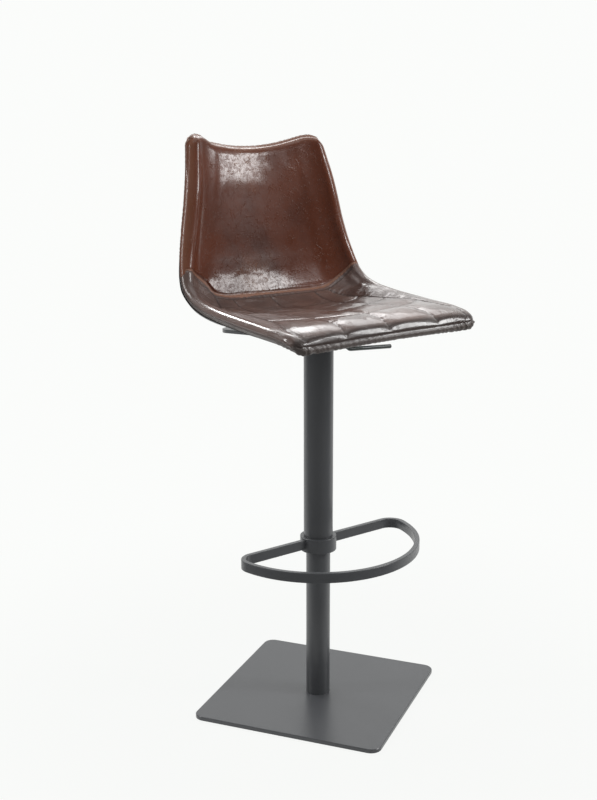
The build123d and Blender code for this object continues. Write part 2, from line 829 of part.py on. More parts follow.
if __name__ == "__main__":
    save("base_plate", base_plate())
    save("base_glides", *base_glides())
    save("base_bolts", *base_bolts())
    save("column_foot", column_foot())
    save("column_tube", column_tube())
    save("column_guide_bush", column_guide_bush())
    save("bearing_lower_race", bearing_race(foot_top))
    save("bearing_upper_race", bearing_race(upper_race_bottom))
    save("bearing_cage", bearing_cage())
    save("bearing_balls", *bearing_balls())
    save("piston_rod", piston_rod())
    save("rod_clip", rod_clip())
    save("bump_stop", bump_stop())
    save("rod_piston", rod_piston())
    save("piston_ring", piston_ring())
    save("piston_nut", piston_nut())
    save("gas_cylinder", gas_cylinder())
    save("cylinder_gland", cylinder_gland())
    save("rod_seal", rod_seal())
    save("valve_body", valve_body())
    save("release_pin", release_pin())
    save("sleeve_tube", sleeve_tube())
    save("sleeve_guide_ring", sleeve_guide_ring())
    save("footrest_collar", footrest_collar())
    save("collar_set_screws", *collar_set_screws())
    save("footrest_loop", footrest_loop())
    save("mount_plate", mount_plate())
    save("lever_channel", lever_channel())
    save("taper_hub", taper_hub())
    save("lever_pin", lever_pin())
    save("lever_pin_clip", lever_pin_clip())
    save("height_lever", height_lever())

    form = seat_form()
    pocket = shell_pocket()
    shell = layer(shell_high, shell_low, pocket_inset + layer_gap, rim_width + layer_gap)
    cover = layer(cover_thickness, 0, pocket_inset + layer_gap, rim_width + layer_gap)
    stack = bolt_stack(shell)
    nut_room = on_plate([tee_nut_pocket(x, y, top) for x, y, top in stack])
    under_room = layer(shell_high + overrun, -seat_gap, pocket_inset, rim_width)
    save("tee_nuts", *on_plate([tee_nut(x, y, top) for x, y, top in stack]))
    save("seat_bolts", *on_plate([seat_bolt(x, y, top) for x, y, top in stack]))
    save("seat_washers", *on_plate([seat_washer(x, y) for x, y, top in stack]))
    save("seat_spacers", *[spacer - under_room for spacer in on_plate([seat_spacer(*s) for s in stack])])
    save("seat_shell", shell - nut_room)
    save("rear_cover", cover - nut_room)

    tray = form - pocket - nut_room
    behind = seam_prism()
    save("back_pad", tray & behind)
    save("seat_pad", tray - behind - quilt_grooves())
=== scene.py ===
import bpy
import bmesh
import json
import math
import numpy as np
from mathutils import Euler, Matrix, Vector
from mathutils.kdtree import KDTree


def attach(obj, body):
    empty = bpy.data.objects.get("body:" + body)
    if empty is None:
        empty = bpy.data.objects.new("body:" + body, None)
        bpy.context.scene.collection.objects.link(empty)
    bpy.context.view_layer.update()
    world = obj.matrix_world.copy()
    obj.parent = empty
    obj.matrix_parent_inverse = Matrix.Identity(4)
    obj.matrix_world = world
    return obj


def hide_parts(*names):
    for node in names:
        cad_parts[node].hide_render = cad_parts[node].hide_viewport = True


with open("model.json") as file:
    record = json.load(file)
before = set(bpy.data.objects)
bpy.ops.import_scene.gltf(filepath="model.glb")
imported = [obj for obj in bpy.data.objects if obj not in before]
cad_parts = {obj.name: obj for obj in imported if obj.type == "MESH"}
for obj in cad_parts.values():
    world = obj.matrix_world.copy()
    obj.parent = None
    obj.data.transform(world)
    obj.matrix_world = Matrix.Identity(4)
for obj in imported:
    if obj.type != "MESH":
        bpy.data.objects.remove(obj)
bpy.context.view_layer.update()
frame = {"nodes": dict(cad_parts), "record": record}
print("frame loaded")

# The seat faces -Y. The camera stands off to its front left, as the photograph does.
cameraSettings = {
    "position": (-1.5471, -1.986, 1.2841),
    "facing": 37.0,        # degrees from +Y towards +X
    "down": 14.175,
    "roll": -0.11,
    "focalPixels": 1288.47,
    "frameHeight": 800,    # pixels on the long side
    "sensor": 36.0,
    "farthest": 50,
}


def addObject(name, data):
    added = bpy.data.objects.new(name, data)
    bpy.context.scene.collection.objects.link(added)
    return added


def makeCamera(settings):
    data = bpy.data.cameras.new("camera")
    data.sensor_width = settings["sensor"]
    data.lens = settings["focalPixels"] / settings["frameHeight"] * settings["sensor"]
    data.clip_end = settings["farthest"]
    camera = addObject("camera", data)
    camera.location = settings["position"]
    camera.rotation_euler = Euler((math.radians(90 - settings["down"]), 0, -math.radians(settings["facing"])))
    camera.rotation_euler.rotate_axis("Z", math.radians(settings["roll"]))
    bpy.context.scene.camera = camera


makeCamera(cameraSettings)


# Node helpers. An underscore in a socket's name stands for a space, and i0 is the first socket.
def link(tree, node, **values):
    for label, value in values.items():
        numbered = label[0] == "i" and label[1:].isdigit()
        socket = node.inputs[int(label[1:]) if numbered else label.replace("_", " ")]
        if isinstance(value, bpy.types.NodeSocket):
            tree.links.new(value, socket)
        else:
            socket.default_value = value


def newMaterial(name, **sockets):
    material = bpy.data.materials.new(name)
    material.use_nodes = True
    tree = material.node_tree
    shader = next(n for n in tree.nodes if n.type == "BSDF_PRINCIPLED")
    link(tree, shader, **sockets)
    return material, tree, shader


def addNode(tree, kind, settings=None, **sockets):
    node = tree.nodes.new("ShaderNode" + kind)
    for key, value in (settings or {}).items():
        setattr(node, key, value)
    link(tree, node, **sockets)
    return node


def maths(tree, operation, a, b=0.0):
    return addNode(tree, "Math", {"operation": operation}, i0=a, i1=b).outputs[0]


def times(tree, a, b):
    return maths(tree, "MULTIPLY", a, b)


def plus(tree, a, b):
    return maths(tree, "ADD", a, b)


def most(tree, a, b):
    return maths(tree, "MAXIMUM", a, b)


def ramp(tree, value, low, high, start=0.0, end=1.0):
    return addNode(tree, "MapRange", {"interpolation_type": "SMOOTHSTEP"}, Value=value,
                   From_Min=low, From_Max=high, To_Min=start, To_Max=end).outputs[0]


def mixColour(tree, factor, a, b):
    colours = [(*value, 1) if isinstance(value, tuple) else value for value in (a, b)]
    return addNode(tree, "Mix", {"data_type": "RGBA"}, i0=factor, i6=colours[0], i7=colours[1]).outputs[2]


def shade(colour, share):
    return tuple(share * c for c in colour)


def objectPlace(tree, scale=(1, 1, 1)):
    source = addNode(tree, "TexCoord").outputs["Object"]
    return addNode(tree, "Mapping", Vector=source, Scale=scale).outputs[0]


def noise(tree, place, scale, detail=2.0, distortion=0.0):
    return addNode(tree, "TexNoise", Vector=place, Scale=scale, Detail=detail,
                   Distortion=distortion).outputs[0]


def bump(tree, height, strength, distance, normal=None):
    node = addNode(tree, "Bump", Height=height, Strength=strength, Distance=distance)
    if normal is not None:
        tree.links.new(normal, node.inputs["Normal"])
    return node.outputs[0]


def makeGroup(name, *outputs):
    # A shared effect takes the place on the piece and puts out values
    group = bpy.data.node_groups.new(name, "ShaderNodeTree")
    group.interface.new_socket(name="Place", in_out="INPUT", socket_type="NodeSocketVector")
    for label in outputs:
        group.interface.new_socket(name=label, in_out="OUTPUT", socket_type="NodeSocketFloat")
    return group, group.nodes.new("NodeGroupInput").outputs["Place"], group.nodes.new("NodeGroupOutput")


def useGroup(tree, group, place):
    return addNode(tree, "Group", {"node_tree": group}, Place=place).outputs


# Shared effects, with how many of each feature there are to a metre
effects = {
    "grain": {"warp": 60, "shift": (0.004, 0.004, 0.004), "creases": 420, "creaseWidth": 0.14, "pores": 1300,
              "swells": 34, "heights": (0.45, 0.25, 1.4)},
    "scuffs": {"hairlines": (((0.4, 0.9, 0.3), 26, 0.012), ((1.3, 0.2, 0.9), 47, 0.016),
                             ((0.2, 0.5, 1.9), 17, 0.009)),
               "stretch": (1, 0.45, 1), "gaps": 2.2, "clouds": 9},
    "peel": {"fine": 1100, "wide": 260, "gloss": 7, "specks": 190, "dusty": 30},
    "brushing": {"lines": 90, "smudge": 6},
}


def makeGrain(settings):
    # Leather: pores, fine creases and slow unevenness in one height
    group, start, end = makeGroup("leatherGrain", "Height", "Crease")
    place = addNode(group, "VectorMath", {"operation": "MULTIPLY_ADD"}, i1=settings["shift"], i2=start,
                    i0=noise(group, start, settings["warp"], 3)).outputs[0]
    cells = addNode(group, "TexVoronoi", {"feature": "DISTANCE_TO_EDGE"}, Vector=place,
                    Scale=settings["creases"]).outputs[0]
    crease = ramp(group, cells, 0.0, settings["creaseWidth"])
    pores = addNode(group, "TexVoronoi", Vector=place, Scale=settings["pores"]).outputs[0]
    soft = noise(group, place, settings["swells"], 4)
    creaseHeight, poreHeight, softHeight = settings["heights"]
    height = plus(group, times(group, crease, creaseHeight), times(group, pores, poreHeight))
    link(group, end, Height=plus(group, height, times(group, soft, softHeight)), Crease=crease)
    return group


def makeScuffs(settings):
    # Waxed leather: pale hairlines that wander and cross, and cloudy patches
    group, start, end = makeGroup("waxScuffs", "Lines", "Clouds")
    total = None
    for turn, scale, width in settings["hairlines"]:
        place = addNode(group, "Mapping", Vector=start, Rotation=turn, Scale=settings["stretch"]).outputs[0]
        field = noise(group, place, scale, 5, 0.6)
        middle = maths(group, "ABSOLUTE", maths(group, "SUBTRACT", field, 0.5))
        line = ramp(group, middle, 0.0, width, 1.0, 0.0)
        line = times(group, line, ramp(group, noise(group, place, scale * settings["gaps"], 2), 0.48, 0.62))
        total = line if total is None else most(group, total, line)
    clouds = ramp(group, noise(group, start, settings["clouds"], 5, 0.3), 0.42, 0.66)
    link(group, end, Lines=total, Clouds=clouds)
    return group


def makePeel(settings):
    # Powder coat: fine orange peel, a slow change of gloss and a little dust
    group, place, end = makeGroup("orangePeel", "Height", "Gloss", "Dust")
    height = plus(group, times(group, noise(group, place, settings["fine"], 2), 0.5),
                  noise(group, place, settings["wide"], 1))
    specks = addNode(group, "TexVoronoi", Vector=place, Scale=settings["specks"]).outputs[0]
    dust = times(group, ramp(group, specks, 0.03, 0.07, 1.0, 0.0),
                 ramp(group, noise(group, place, settings["dusty"], 1), 0.52, 0.6))
    link(group, end, Height=height, Gloss=noise(group, place, settings["gloss"], 4), Dust=dust)
    return group


def makeBrushing(settings):
    group, place, end = makeGroup("brushing", "Height", "Gloss")
    link(group, end, Height=noise(group, place, settings["lines"], 5),
         Gloss=noise(group, place, settings["smudge"], 3))
    return group


grain, scuffs = makeGrain(effects["grain"]), makeScuffs(effects["scuffs"])
peel, brushing = makePeel(effects["peel"]), makeBrushing(effects["brushing"])
print("shared effects built")

# Finishes of the metal, rubber, plastic and wood pieces
coats = {
    "powderCoat": {"colour": (0.074, 0.077, 0.082), "roughness": (0.28, 0.36), "peel": 0.08},
    "leverCoat": {"colour": (0.028, 0.036, 0.032), "roughness": (0.26, 0.36), "peel": 0.06},
    "cylinderPaint": {"colour": (0.02, 0.02, 0.022), "roughness": (0.22, 0.32), "peel": 0.03},
}
dustColour = (0.32, 0.31, 0.3)
steels = {
    "zincSteel": {"colour": (0.56, 0.57, 0.58), "roughness": (0.28, 0.42), "stretch": (6, 6, 60),
                  "lines": 0.10},
    "chromeRod": {"colour": (0.80, 0.80, 0.82), "roughness": (0.04, 0.10), "stretch": (2, 2, 90),
                  "lines": 0.02},
    "groundSteel": {"colour": (0.62, 0.62, 0.63), "roughness": (0.14, 0.24), "stretch": (4, 4, 120),
                    "lines": 0.05},
}
plastics = {
    "blackNylon": {"colour": (0.018, 0.018, 0.019), "roughness": (0.45, 0.6), "texture": 700},
    "whiteNylon": {"colour": (0.74, 0.70, 0.60), "roughness": (0.38, 0.5), "texture": 500},
    "sealRubber": {"colour": (0.014, 0.014, 0.014), "roughness": (0.7, 0.85), "texture": 1600},
}
ply = {
    "dark": (0.36, 0.22, 0.11), "light": (0.52, 0.36, 0.2), "fibre": (0.27, 0.16, 0.08),
    "roughness": (0.5, 0.7), "rings": 42.0, "wander": 5.0, "ringStretch": (0.6, 1, 1.4),
    "fibreStretch": (4, 60, 60),
}


def finishShader(tree, shader, tone, gloss, roughness, height, strength, distance):
    link(tree, shader, Base_Color=tone, Roughness=ramp(tree, gloss, 0.3, 0.7, *roughness),
         Normal=bump(tree, height, strength, distance))


def makeCoat(name, settings):
    material, tree, shader = newMaterial(name, Specular_IOR_Level=0.6)
    effect = useGroup(tree, peel, objectPlace(tree))
    tone = mixColour(tree, effect["Gloss"], shade(settings["colour"], 0.88), shade(settings["colour"], 1.1))
    tone = mixColour(tree, times(tree, effect["Dust"], 0.35), tone, dustColour)
    finishShader(tree, shader, tone, effect["Gloss"], settings["roughness"], effect["Height"],
                 settings["peel"], 0.0006)
    return material


def makeSteel(name, settings):
    material, tree, shader = newMaterial(name, Metallic=1.0)
    effect = useGroup(tree, brushing, objectPlace(tree, settings["stretch"]))
    tone = mixColour(tree, effect["Gloss"], shade(settings["colour"], 0.82), settings["colour"])
    finishShader(tree, shader, tone, effect["Gloss"], settings["roughness"], effect["Height"],
                 settings["lines"], 0.0004)
    return material


def makePlastic(name, settings):
    material, tree, shader = newMaterial(name, Specular_IOR_Level=0.4)
    place = objectPlace(tree)
    smudge = noise(tree, place, 22, 4)
    tone = mixColour(tree, smudge, shade(settings["colour"], 0.8), shade(settings["colour"], 1.12))
    finishShader(tree, shader, tone, smudge, settings["roughness"],
                 noise(tree, place, settings["texture"], 2), 0.18, 0.0004)
    return material


def makePly(name, settings):
    material, tree, shader = newMaterial(name)
    rings = addNode(tree, "TexWave", {"bands_direction": "Z"}, Scale=settings["rings"], Detail=3.0,
                    Distortion=settings["wander"],
                    Vector=objectPlace(tree, settings["ringStretch"])).outputs[1]
    fibre = noise(tree, objectPlace(tree, settings["fibreStretch"]), 9, 6)
    tone = mixColour(tree, rings, settings["dark"], settings["light"])
    tone = mixColour(tree, ramp(tree, fibre, 0.35, 0.7), tone, settings["fibre"])
    finishShader(tree, shader, tone, noise(tree, objectPlace(tree), 18, 3), settings["roughness"],
                 fibre, 0.2, 0.0006)
    return material


finishes = {"pressedPly": makePly("pressedPly", ply)}
for table, maker in ((coats, makeCoat), (steels, makeSteel), (plastics, makePlastic)):
    finishes.update({name: maker(name, values) for name, values in table.items()})

slotFinishes = {
    "powder_coat": "powderCoat", "lever_coat": "leverCoat", "cylinder_steel": "cylinderPaint",
    "rod_chrome": "chromeRod", "fastener_steel": "zincSteel", "bearing_steel": "groundSteel",
    "cage_plastic": "whiteNylon", "glide_plastic": "blackNylon", "seal_rubber": "sealRubber",
    "shell_wood": "pressedPly",
}


def dressFrame():
    for entry in frame["record"]["subparts"]:
        finish = slotFinishes.get(entry["material_slot"])
        if finish:
            materials = frame["nodes"][entry["node"]].data.materials
            materials.clear()
            materials.append(finishes[finish])


dressFrame()
print("metal, plastic, rubber and wood dressed")

# The seat's form: sections across the seat, from the front edge round the bend to the top of the back.
# Each has its place along depth and height, tilt, half width, wing rise, width and rise of the middle,
# thickness and edge roll, as shares of the sizes in the first two lines.
seatForm = {
    "width": 0.444, "depth": 0.438, "front": -0.217, "panHeight": 0.818, "backHeight": 0.342,
    "thickness": 0.023, "roll": 0.010, "wingRise": 0.052,
    "pocket": 0.0118,      # from the under face up to the top of the shell
    "lip": 0.004,          # leather turned under along the edge
    "noseSections": 2,     # sections whose thickness is shaped by the front nose instead
    "sections": (
        (0.000, 0.010, 0, 0.465, -0.02, 0.55, -0.02, 0.52, 0.45),
        (0.011, 0.032, 0, 0.482, -0.05, 0.55, -0.03, 0.86, 0.85),
        (0.043, 0.058, 0, 0.494, -0.09, 0.55, -0.04, 1.0, 1.0),
        (0.119, 0.075, 0, 0.500, -0.10, 0.56, -0.05, 1.0, 1.0),
        (0.267, 0.064, 0, 0.500, 0.04, 0.58, 0.02, 1.0, 1.0),
        (0.427, 0.045, 0, 0.500, 0.23, 0.60, 0.04, 1.0, 1.0),
        (0.575, 0.023, 0, 0.500, 0.46, 0.62, 0.08, 1.0, 1.0),
        (0.701, 0.004, 7, 0.500, 0.73, 0.62, 0.12, 1.0, 1.0),
        (0.804, 0.015, 22, 0.499, 0.93, 0.62, 0.16, 1.0, 1.0),
        (0.888, 0.070, 36, 0.497, 1.05, 0.62, 0.18, 1.0, 1.0),
        (0.929, 0.158, 49, 0.490, 1.03, 0.60, 0.18, 1.08, 1.15),
        (0.950, 0.284, 64, 0.476, 0.89, 0.58, 0.17, 1.18, 1.35),
        (0.963, 0.459, 78, 0.450, 0.77, 0.56, 0.16, 1.26, 1.5),
        (0.975, 0.649, 84, 0.421, 0.73, 0.54, 0.16, 1.30, 1.5),
        (0.984, 0.825, 86, 0.395, 0.62, 0.54, 0.14, 1.30, 1.5),
        (0.991, 0.971, 86, 0.374, 0.44, 0.55, 0.10, 1.30, 1.5),
        (0.995, 1.058, 86, 0.360, 0.32, 0.55, 0.07, 1.30, 1.5),
    ),
}

# Sewing lines. Places across are left and right of the middle; heights and depths are from the frame.
seamPlan = {
    "sideDepth": (-0.217, -0.189, -0.163, -0.131, -0.09, -0.03, 0.012, 0.055, 0.105, 0.150, 0.20),
    "sideAcross": (0.214, 0.209, 0.202, 0.194, 0.187, 0.178, 0.171, 0.166, 0.157, 0.142, 0.130),
    "quiltDepth": (-0.217, -0.13, 0.0, 0.15, 0.20),
    "quiltLeft": (0.104, 0.103, 0.097, 0.096, 0.094),
    "quiltRight": (0.121, 0.113, 0.104, 0.107, 0.105),
    "rows": (-0.141, -0.055, 0.017),
    "rowBow": 0.057,
    "rowPower": 1.4,
    # the seam between pan and back, as a distance along the line that halves the bend
    "hemAcross": (-0.235, -0.195, -0.165, -0.150, -0.137, -0.118, -0.06, 0.0, 0.06, 0.12, 0.138, 0.152, 0.172,
                  0.195, 0.235),
    "hemLevel": (0.754, 0.746, 0.742, 0.734, 0.718, 0.711, 0.709, 0.707, 0.7045, 0.700, 0.700, 0.703, 0.711,
                 0.720, 0.744),
    "hemWidth": 0.0135,
}

# Top line of the back: a notch between two ears
topLine = {
    "notch": 1.1395, "notchHalf": 0.116, "earRise": 0.017, "earSide": 0.177, "earDrop": 0.025,
    "leftLift": 0.0095, "liftFrom": 0.098, "liftOver": 0.036,
    "corner": (0.017, 0.023),      # radius of the ears' outer corners, left and right
}


def smoothValues(knots, values, places):
    # A smooth curve through the knots, with the neighbours' slopes at each
    knots, values = np.asarray(knots, float), np.asarray(values, float)
    values = values.reshape(len(knots), -1)
    span = np.diff(knots)[:, None]
    slope = np.diff(values, axis=0) / span
    between = (span[:-1] * slope[1:] + span[1:] * slope[:-1]) / (span[:-1] + span[1:])
    tangent = np.vstack([slope[:1], between, slope[-1:]])
    places = np.clip(places, knots[0], knots[-1])
    i = np.clip(np.searchsorted(knots, places, side="right") - 1, 0, len(knots) - 2)
    t = ((places - knots[i]) / span[i, 0])[:, None]
    rise = tangent[i] * span[i] * t * (1 - t) ** 2 - tangent[i + 1] * span[i] * t ** 2 * (1 - t)
    return values[i] * (1 + 2 * t) * (1 - t) ** 2 + values[i + 1] * t ** 2 * (3 - 2 * t) + rise


def smoothStep(values):
    share = np.clip(values, 0, 1)
    return share * share * (3 - 2 * share)


def curve(knots, values, places):
    places = np.asarray(places, float)
    return smoothValues(knots, values, places.ravel())[:, 0].reshape(places.shape)


def readSections(form):
    rows = []
    for index, (along, up, tilt, width, rise, middle, middleRise, thick, roll) in enumerate(form["sections"]):
        z = form["panHeight"] + form["backHeight"] * up
        if index < form["noseSections"]:
            z += form["thickness"] * (1 - thick) / 2
            thick = roll = 1.0
        rows.append((form["front"] + form["depth"] * along, z, math.radians(tilt), form["width"] * width,
                     form["wingRise"] * rise, middle, form["wingRise"] * middleRise,
                     form["thickness"] * thick, form["roll"] * roll))
    rows = np.array(rows)
    steps = np.hypot(np.diff(rows[:, 0]), np.diff(rows[:, 1]))
    return np.concatenate([[0], np.cumsum(steps)]), rows


sectionKnots, sectionRows = readSections(seatForm)
formLength = sectionKnots[-1]


def cutSections(places):
    # The circles of each section: a middle arc, a wing arc tangent to it, and the roll round the edge
    y, z, tilt, half, rise, middle, innerY, thick, roll = smoothValues(sectionKnots, sectionRows, places).T
    innerX = half * middle
    start = 2 * np.arctan2(innerY, innerX)
    pivotX, pivotY = half - roll, rise - roll
    reachX, reachY = innerX - pivotX, innerY - pivotY
    acrossX, acrossY = -np.sin(start), np.cos(start)
    bend = 2 * (roll - reachX * acrossX - reachY * acrossY) / (reachX ** 2 + reachY ** 2 - roll ** 2)
    upX, upY = bend * reachX + acrossX, bend * reachY + acrossY
    size = np.hypot(upX, upY)
    upX, upY = upX / size, upY / size
    end = np.arctan2(-upX, upY)
    edgeX, edgeY = pivotX + upX * roll, pivotY + upY * roll
    turn = end - start
    chord = np.hypot(edgeX - innerX, edgeY - innerY)
    return {"y": y, "z": z, "tilt": tilt, "innerX": innerX, "innerY": innerY, "start": start, "end": end,
            "turn": turn, "pivotX": pivotX, "pivotY": pivotY, "thick": thick, "roll": roll,
            "middleLength": np.hypot(innerX, innerY) / np.sinc(start / 2 / np.pi),
            "wingLength": chord / np.sinc(turn / 2 / np.pi)}


def shape(cut, count):
    return {key: value.reshape(-1, count) for key, value in cut.items()}


def arcStep(angle, length, firstAngle):
    # Where an arc leads that leaves along firstAngle and turns by angle over its length
    ahead, aside = np.sinc(angle / np.pi), np.sinc(angle / 2 / np.pi) ** 2 * angle / 2
    return (length * (ahead * np.cos(firstAngle) - aside * np.sin(firstAngle)),
            length * (ahead * np.sin(firstAngle) + aside * np.cos(firstAngle)))


def upperPoint(cut, column, depth):
    # column 0 is the middle, 1 where the wing starts and 2 where the edge roll starts
    inner, wing = np.minimum(column, 1), np.clip(column - 1, 0, 1)
    midX, midY = arcStep(cut["start"] * inner, cut["middleLength"] * inner, np.zeros_like(column))
    wingX, wingY = arcStep(cut["turn"] * wing, cut["wingLength"] * wing, cut["start"])
    onWing = column > 1
    x = np.where(onWing, cut["innerX"] + wingX, midX)
    y = np.where(onWing, cut["innerY"] + wingY, midY)
    angle = np.where(onWing, cut["start"] + cut["turn"] * wing, cut["start"] * inner)
    return x + depth * np.sin(angle), y - depth * np.cos(angle)


def rimPoint(cut, share):
    angle = cut["end"] + (-np.pi / 2 - cut["end"]) * share
    return cut["pivotX"] - np.sin(angle) * cut["roll"], cut["pivotY"] + np.cos(angle) * cut["roll"]


def bandPoint(cut, share):
    startX, startY = rimPoint(cut, np.ones_like(share))
    lowX, lowY = upperPoint(cut, np.full_like(share, 2.0), cut["thick"])
    lowX, lowY = lowX + np.cos(cut["end"]) * cut["roll"] / 2, lowY + np.sin(cut["end"]) * cut["roll"] / 2
    lean = np.arctan2(lowY - startY, lowX - startX)
    turn = 2 * ((lean + np.pi / 2 + np.pi) % (2 * np.pi) - np.pi)
    length = np.hypot(lowX - startX, lowY - startY) / np.sinc(turn / 2 / np.pi)
    stepX, stepY = arcStep(turn * share, length * share, np.full_like(share, -np.pi / 2))
    return startX + stepX, startY + stepY


def toSpace(cut, place, side):
    (x, y), sine, cosine = place, np.sin(cut["tilt"]), np.cos(cut["tilt"])
    return np.stack([side * x, cut["y"] - y * sine, cut["z"] + y * cosine], axis=-1)


def crossing(field, places):
    # First place along each column where the field turns positive
    above = field > 0
    above[0] = False
    i = np.clip(np.argmax(above, axis=0), 1, len(places) - 1)
    j = np.arange(field.shape[1])
    low, high = field[i - 1, j], field[i, j]
    return places[i - 1] + (places[i] - places[i - 1]) * np.clip(-low / (high - low), 0, 1)


def hemField(points):
    level = curve(seamPlan["hemAcross"], seamPlan["hemLevel"], points[..., 0])
    return (points[..., 1] + points[..., 2]) / math.sqrt(2) - level


def topField(points):
    # Height over the top line: the notch is an arc, and each ear another one tangent to it
    x, half, side = np.abs(points[..., 0]), topLine["notchHalf"], topLine["earSide"]
    lowest, rise = topLine["notch"], topLine["earRise"]
    arc = (half ** 2 + rise ** 2) / (2 * rise)
    swing = 2 * math.atan2(rise, half)
    run, fall = side - half, topLine["earDrop"]
    radius = math.hypot(run, fall) / (2 * math.sin(swing + math.atan2(fall, run)))
    centreX = half + radius * math.sin(swing)
    centreZ = lowest + rise - radius * math.cos(swing)
    notch = lowest + arc - np.sqrt(arc ** 2 - np.minimum(x, half) ** 2)
    ear = centreZ + np.sqrt(np.maximum(radius ** 2 - (np.minimum(x, side) - centreX) ** 2, 0))
    lift = topLine["leftLift"] * smoothStep((-points[..., 0] - topLine["liftFrom"]) / topLine["liftOver"])
    return points[..., 2] - (np.where(x > half, ear, notch) + lift)


def roundCorners(points):
    # The ears' outer corners: a square of rows and columns drawn into a quarter disc
    points = points.copy()
    top = points[..., 2].max(axis=0)[None, :]
    for side, radius in zip((-1, 1), topLine["corner"]):
        edge = (side * points[..., 0]).max(axis=1)[:, None]
        across = np.clip((side * points[..., 0] - edge + radius) / radius, 0, 1)
        up = np.clip((points[..., 2] - top + radius) / radius, 0, 1)
        points[..., 0] += side * radius * across * (np.sqrt(1 - up ** 2 / 2) - 1)
        points[..., 2] += radius * up * (np.sqrt(1 - across ** 2 / 2) - 1)
    return points


def rowField(points, depth, across):
    share = np.clip(np.abs(points[..., 0]) / across, 0, 1.05) ** seamPlan["rowPower"]
    return points[..., 1] - depth - seamPlan["rowBow"] * share


def noseShares(count, power):
    # Rows that close in on the end of a pad, and how thick it is there
    swing = np.linspace(0, np.pi / 2, count + 1)
    along = 1 - np.cos(swing)
    return along, (1 - (1 - along) ** power) ** (1 / power)


def padHalf(side, lines, breaks, counts, rowPlan):
    # One half of a pad as rows and columns, the columns going from the middle round the edge and back under
    dense = np.linspace(0, formLength, 900)
    cut = shape(cutSections(dense), 1)
    samples = np.linspace(0, 2, 181)[None, :]
    acrossTable = upperPoint(cut, np.repeat(samples, len(dense), 0), 0.0)[0]
    marks = [np.zeros(len(dense))]
    for across in breaks(side, cut["y"][:, 0]):
        marks.append(np.array([np.interp(a, row, samples[0]) for a, row in zip(across, acrossTable)]))
    lipShare = seatForm["lip"] / cut["wingLength"][:, 0]
    marks = [np.minimum(mark, 2 - 2.2 * lipShare - 0.001 * (len(marks) - k)) for k, mark in enumerate(marks)]
    marks += [2 - lipShare, np.full(len(dense), 2.0)]
    columns = [marks[0][:, None]]
    for low, high, count in zip(marks, marks[1:], counts["top"]):
        columns.append(low[:, None] + (high - low)[:, None] * np.linspace(0, 1, count + 1)[None, 1:])
    columns = np.concatenate(columns, axis=1)
    last = columns.shape[1] - 1
    lipStart = last - counts["top"][-1]
    marksAlong = lines(side, toSpace(cut, upperPoint(cut, columns, 0.0), side), dense)
    rowPlaces = np.array([marksAlong[a] + (marksAlong[b] - marksAlong[a]) * f for a, b, f, k, u in rowPlan])
    thin = np.array([k for a, b, f, k, u in rowPlan])[:, None]
    hollow = np.array([u for a, b, f, k, u in rowPlan])[:, None]
    columnHere = np.stack([np.interp(rowPlaces[:, j], dense, columns[:, j]) for j in range(last + 1)], axis=1)
    cut = shape(cutSections(rowPlaces.ravel()), last + 1)
    top = toSpace(cut, upperPoint(cut, columnHere, 0.0), side)
    middle = toSpace(cut, upperPoint(cut, columnHere, cut["thick"] / 2), side)
    under = columnHere.copy()
    under[:, lipStart - 1:lipStart] = columnHere[:, lipStart:lipStart + 1]
    depth = np.broadcast_to(cut["thick"] - seatForm["pocket"] * hollow, columnHere.shape).copy()
    depth[:, lipStart:] = cut["thick"][:, lipStart:]
    bottom = toSpace(cut, upperPoint(cut, under, depth), side)
    edge = {key: value[:, -1:] for key, value in cut.items()}
    rimShares = np.linspace(0, 1, counts["rim"] + 1)
    shares = rimShares[None, 1:] * np.ones((len(rowPlan), 1))
    rim = toSpace(edge, rimPoint(edge, shares), side)
    band = toSpace(edge, bandPoint(edge, shares), side)
    # the lip leads from the band's low end back to the pocket
    blendShare = np.linspace(1, 0, last + 1 - lipStart)[None, ::-1, None]
    bottom[:, lipStart:] += (band[:, -1:] - bottom[:, -1:]) * blendShare ** 2
    bandUp = np.concatenate([rim[:, -1:], band[:, :-1]], axis=1)
    pair = (rim + bandUp[:, ::-1]) / 2
    points = np.concatenate([top, rim, band[:, :-1], bottom[:, ::-1]], axis=1)
    centre = np.concatenate([middle, pair, pair[:, -2::-1], middle[:, ::-1]], axis=1)
    points = centre + (points - centre) * thin[..., None]
    around = np.concatenate([np.zeros(last + 1), np.linspace(0, 0.5, counts["rim"] + 1)[1:],
                             np.linspace(0.5, 1, counts["rim"] + 1)[1:-1], np.ones(last + 1)])
    return points, around, last


def padLoops(lines, breaks, settings, rowPlan):
    counts = {"top": [fine * count for count in settings["top"]], "rim": fine * settings["rim"]}
    left, around, last = padHalf(-1, lines, breaks, counts, rowPlan)
    right = padHalf(1, lines, breaks, counts, rowPlan)[0]
    points = np.concatenate([left[:, :0:-1], right], axis=1)
    return points, np.concatenate([around[:0:-1], around]), left.shape[1] - 1, last


def intoMesh(bm, mesh):
    for face in bm.faces:
        face.smooth = True
    bm.to_mesh(mesh)
    bm.free()
    return mesh


def gridMesh(name, points):
    # A grid of the pad's rows and columns, each vertex moved to its place
    rows, columns = points.shape[:2]
    bm = bmesh.new()
    bmesh.ops.create_grid(bm, x_segments=columns - 1, y_segments=rows - 1, size=1.0)
    bm.verts.ensure_lookup_table()
    for vertex, place in zip(bm.verts, points.reshape(-1, 3).tolist()):
        vertex.co = place
    return intoMesh(bm, bpy.data.meshes.new(name))


def closeMesh(mesh, merged=2e-6, least=1e-6):
    # Joined where the columns meet, in metres
    bm = bmesh.new()
    bm.from_mesh(mesh)
    bmesh.ops.remove_doubles(bm, verts=bm.verts, dist=merged)
    bmesh.ops.dissolve_degenerate(bm, edges=bm.edges, dist=least)
    bmesh.ops.recalc_face_normals(bm, faces=bm.faces)
    intoMesh(bm, mesh)


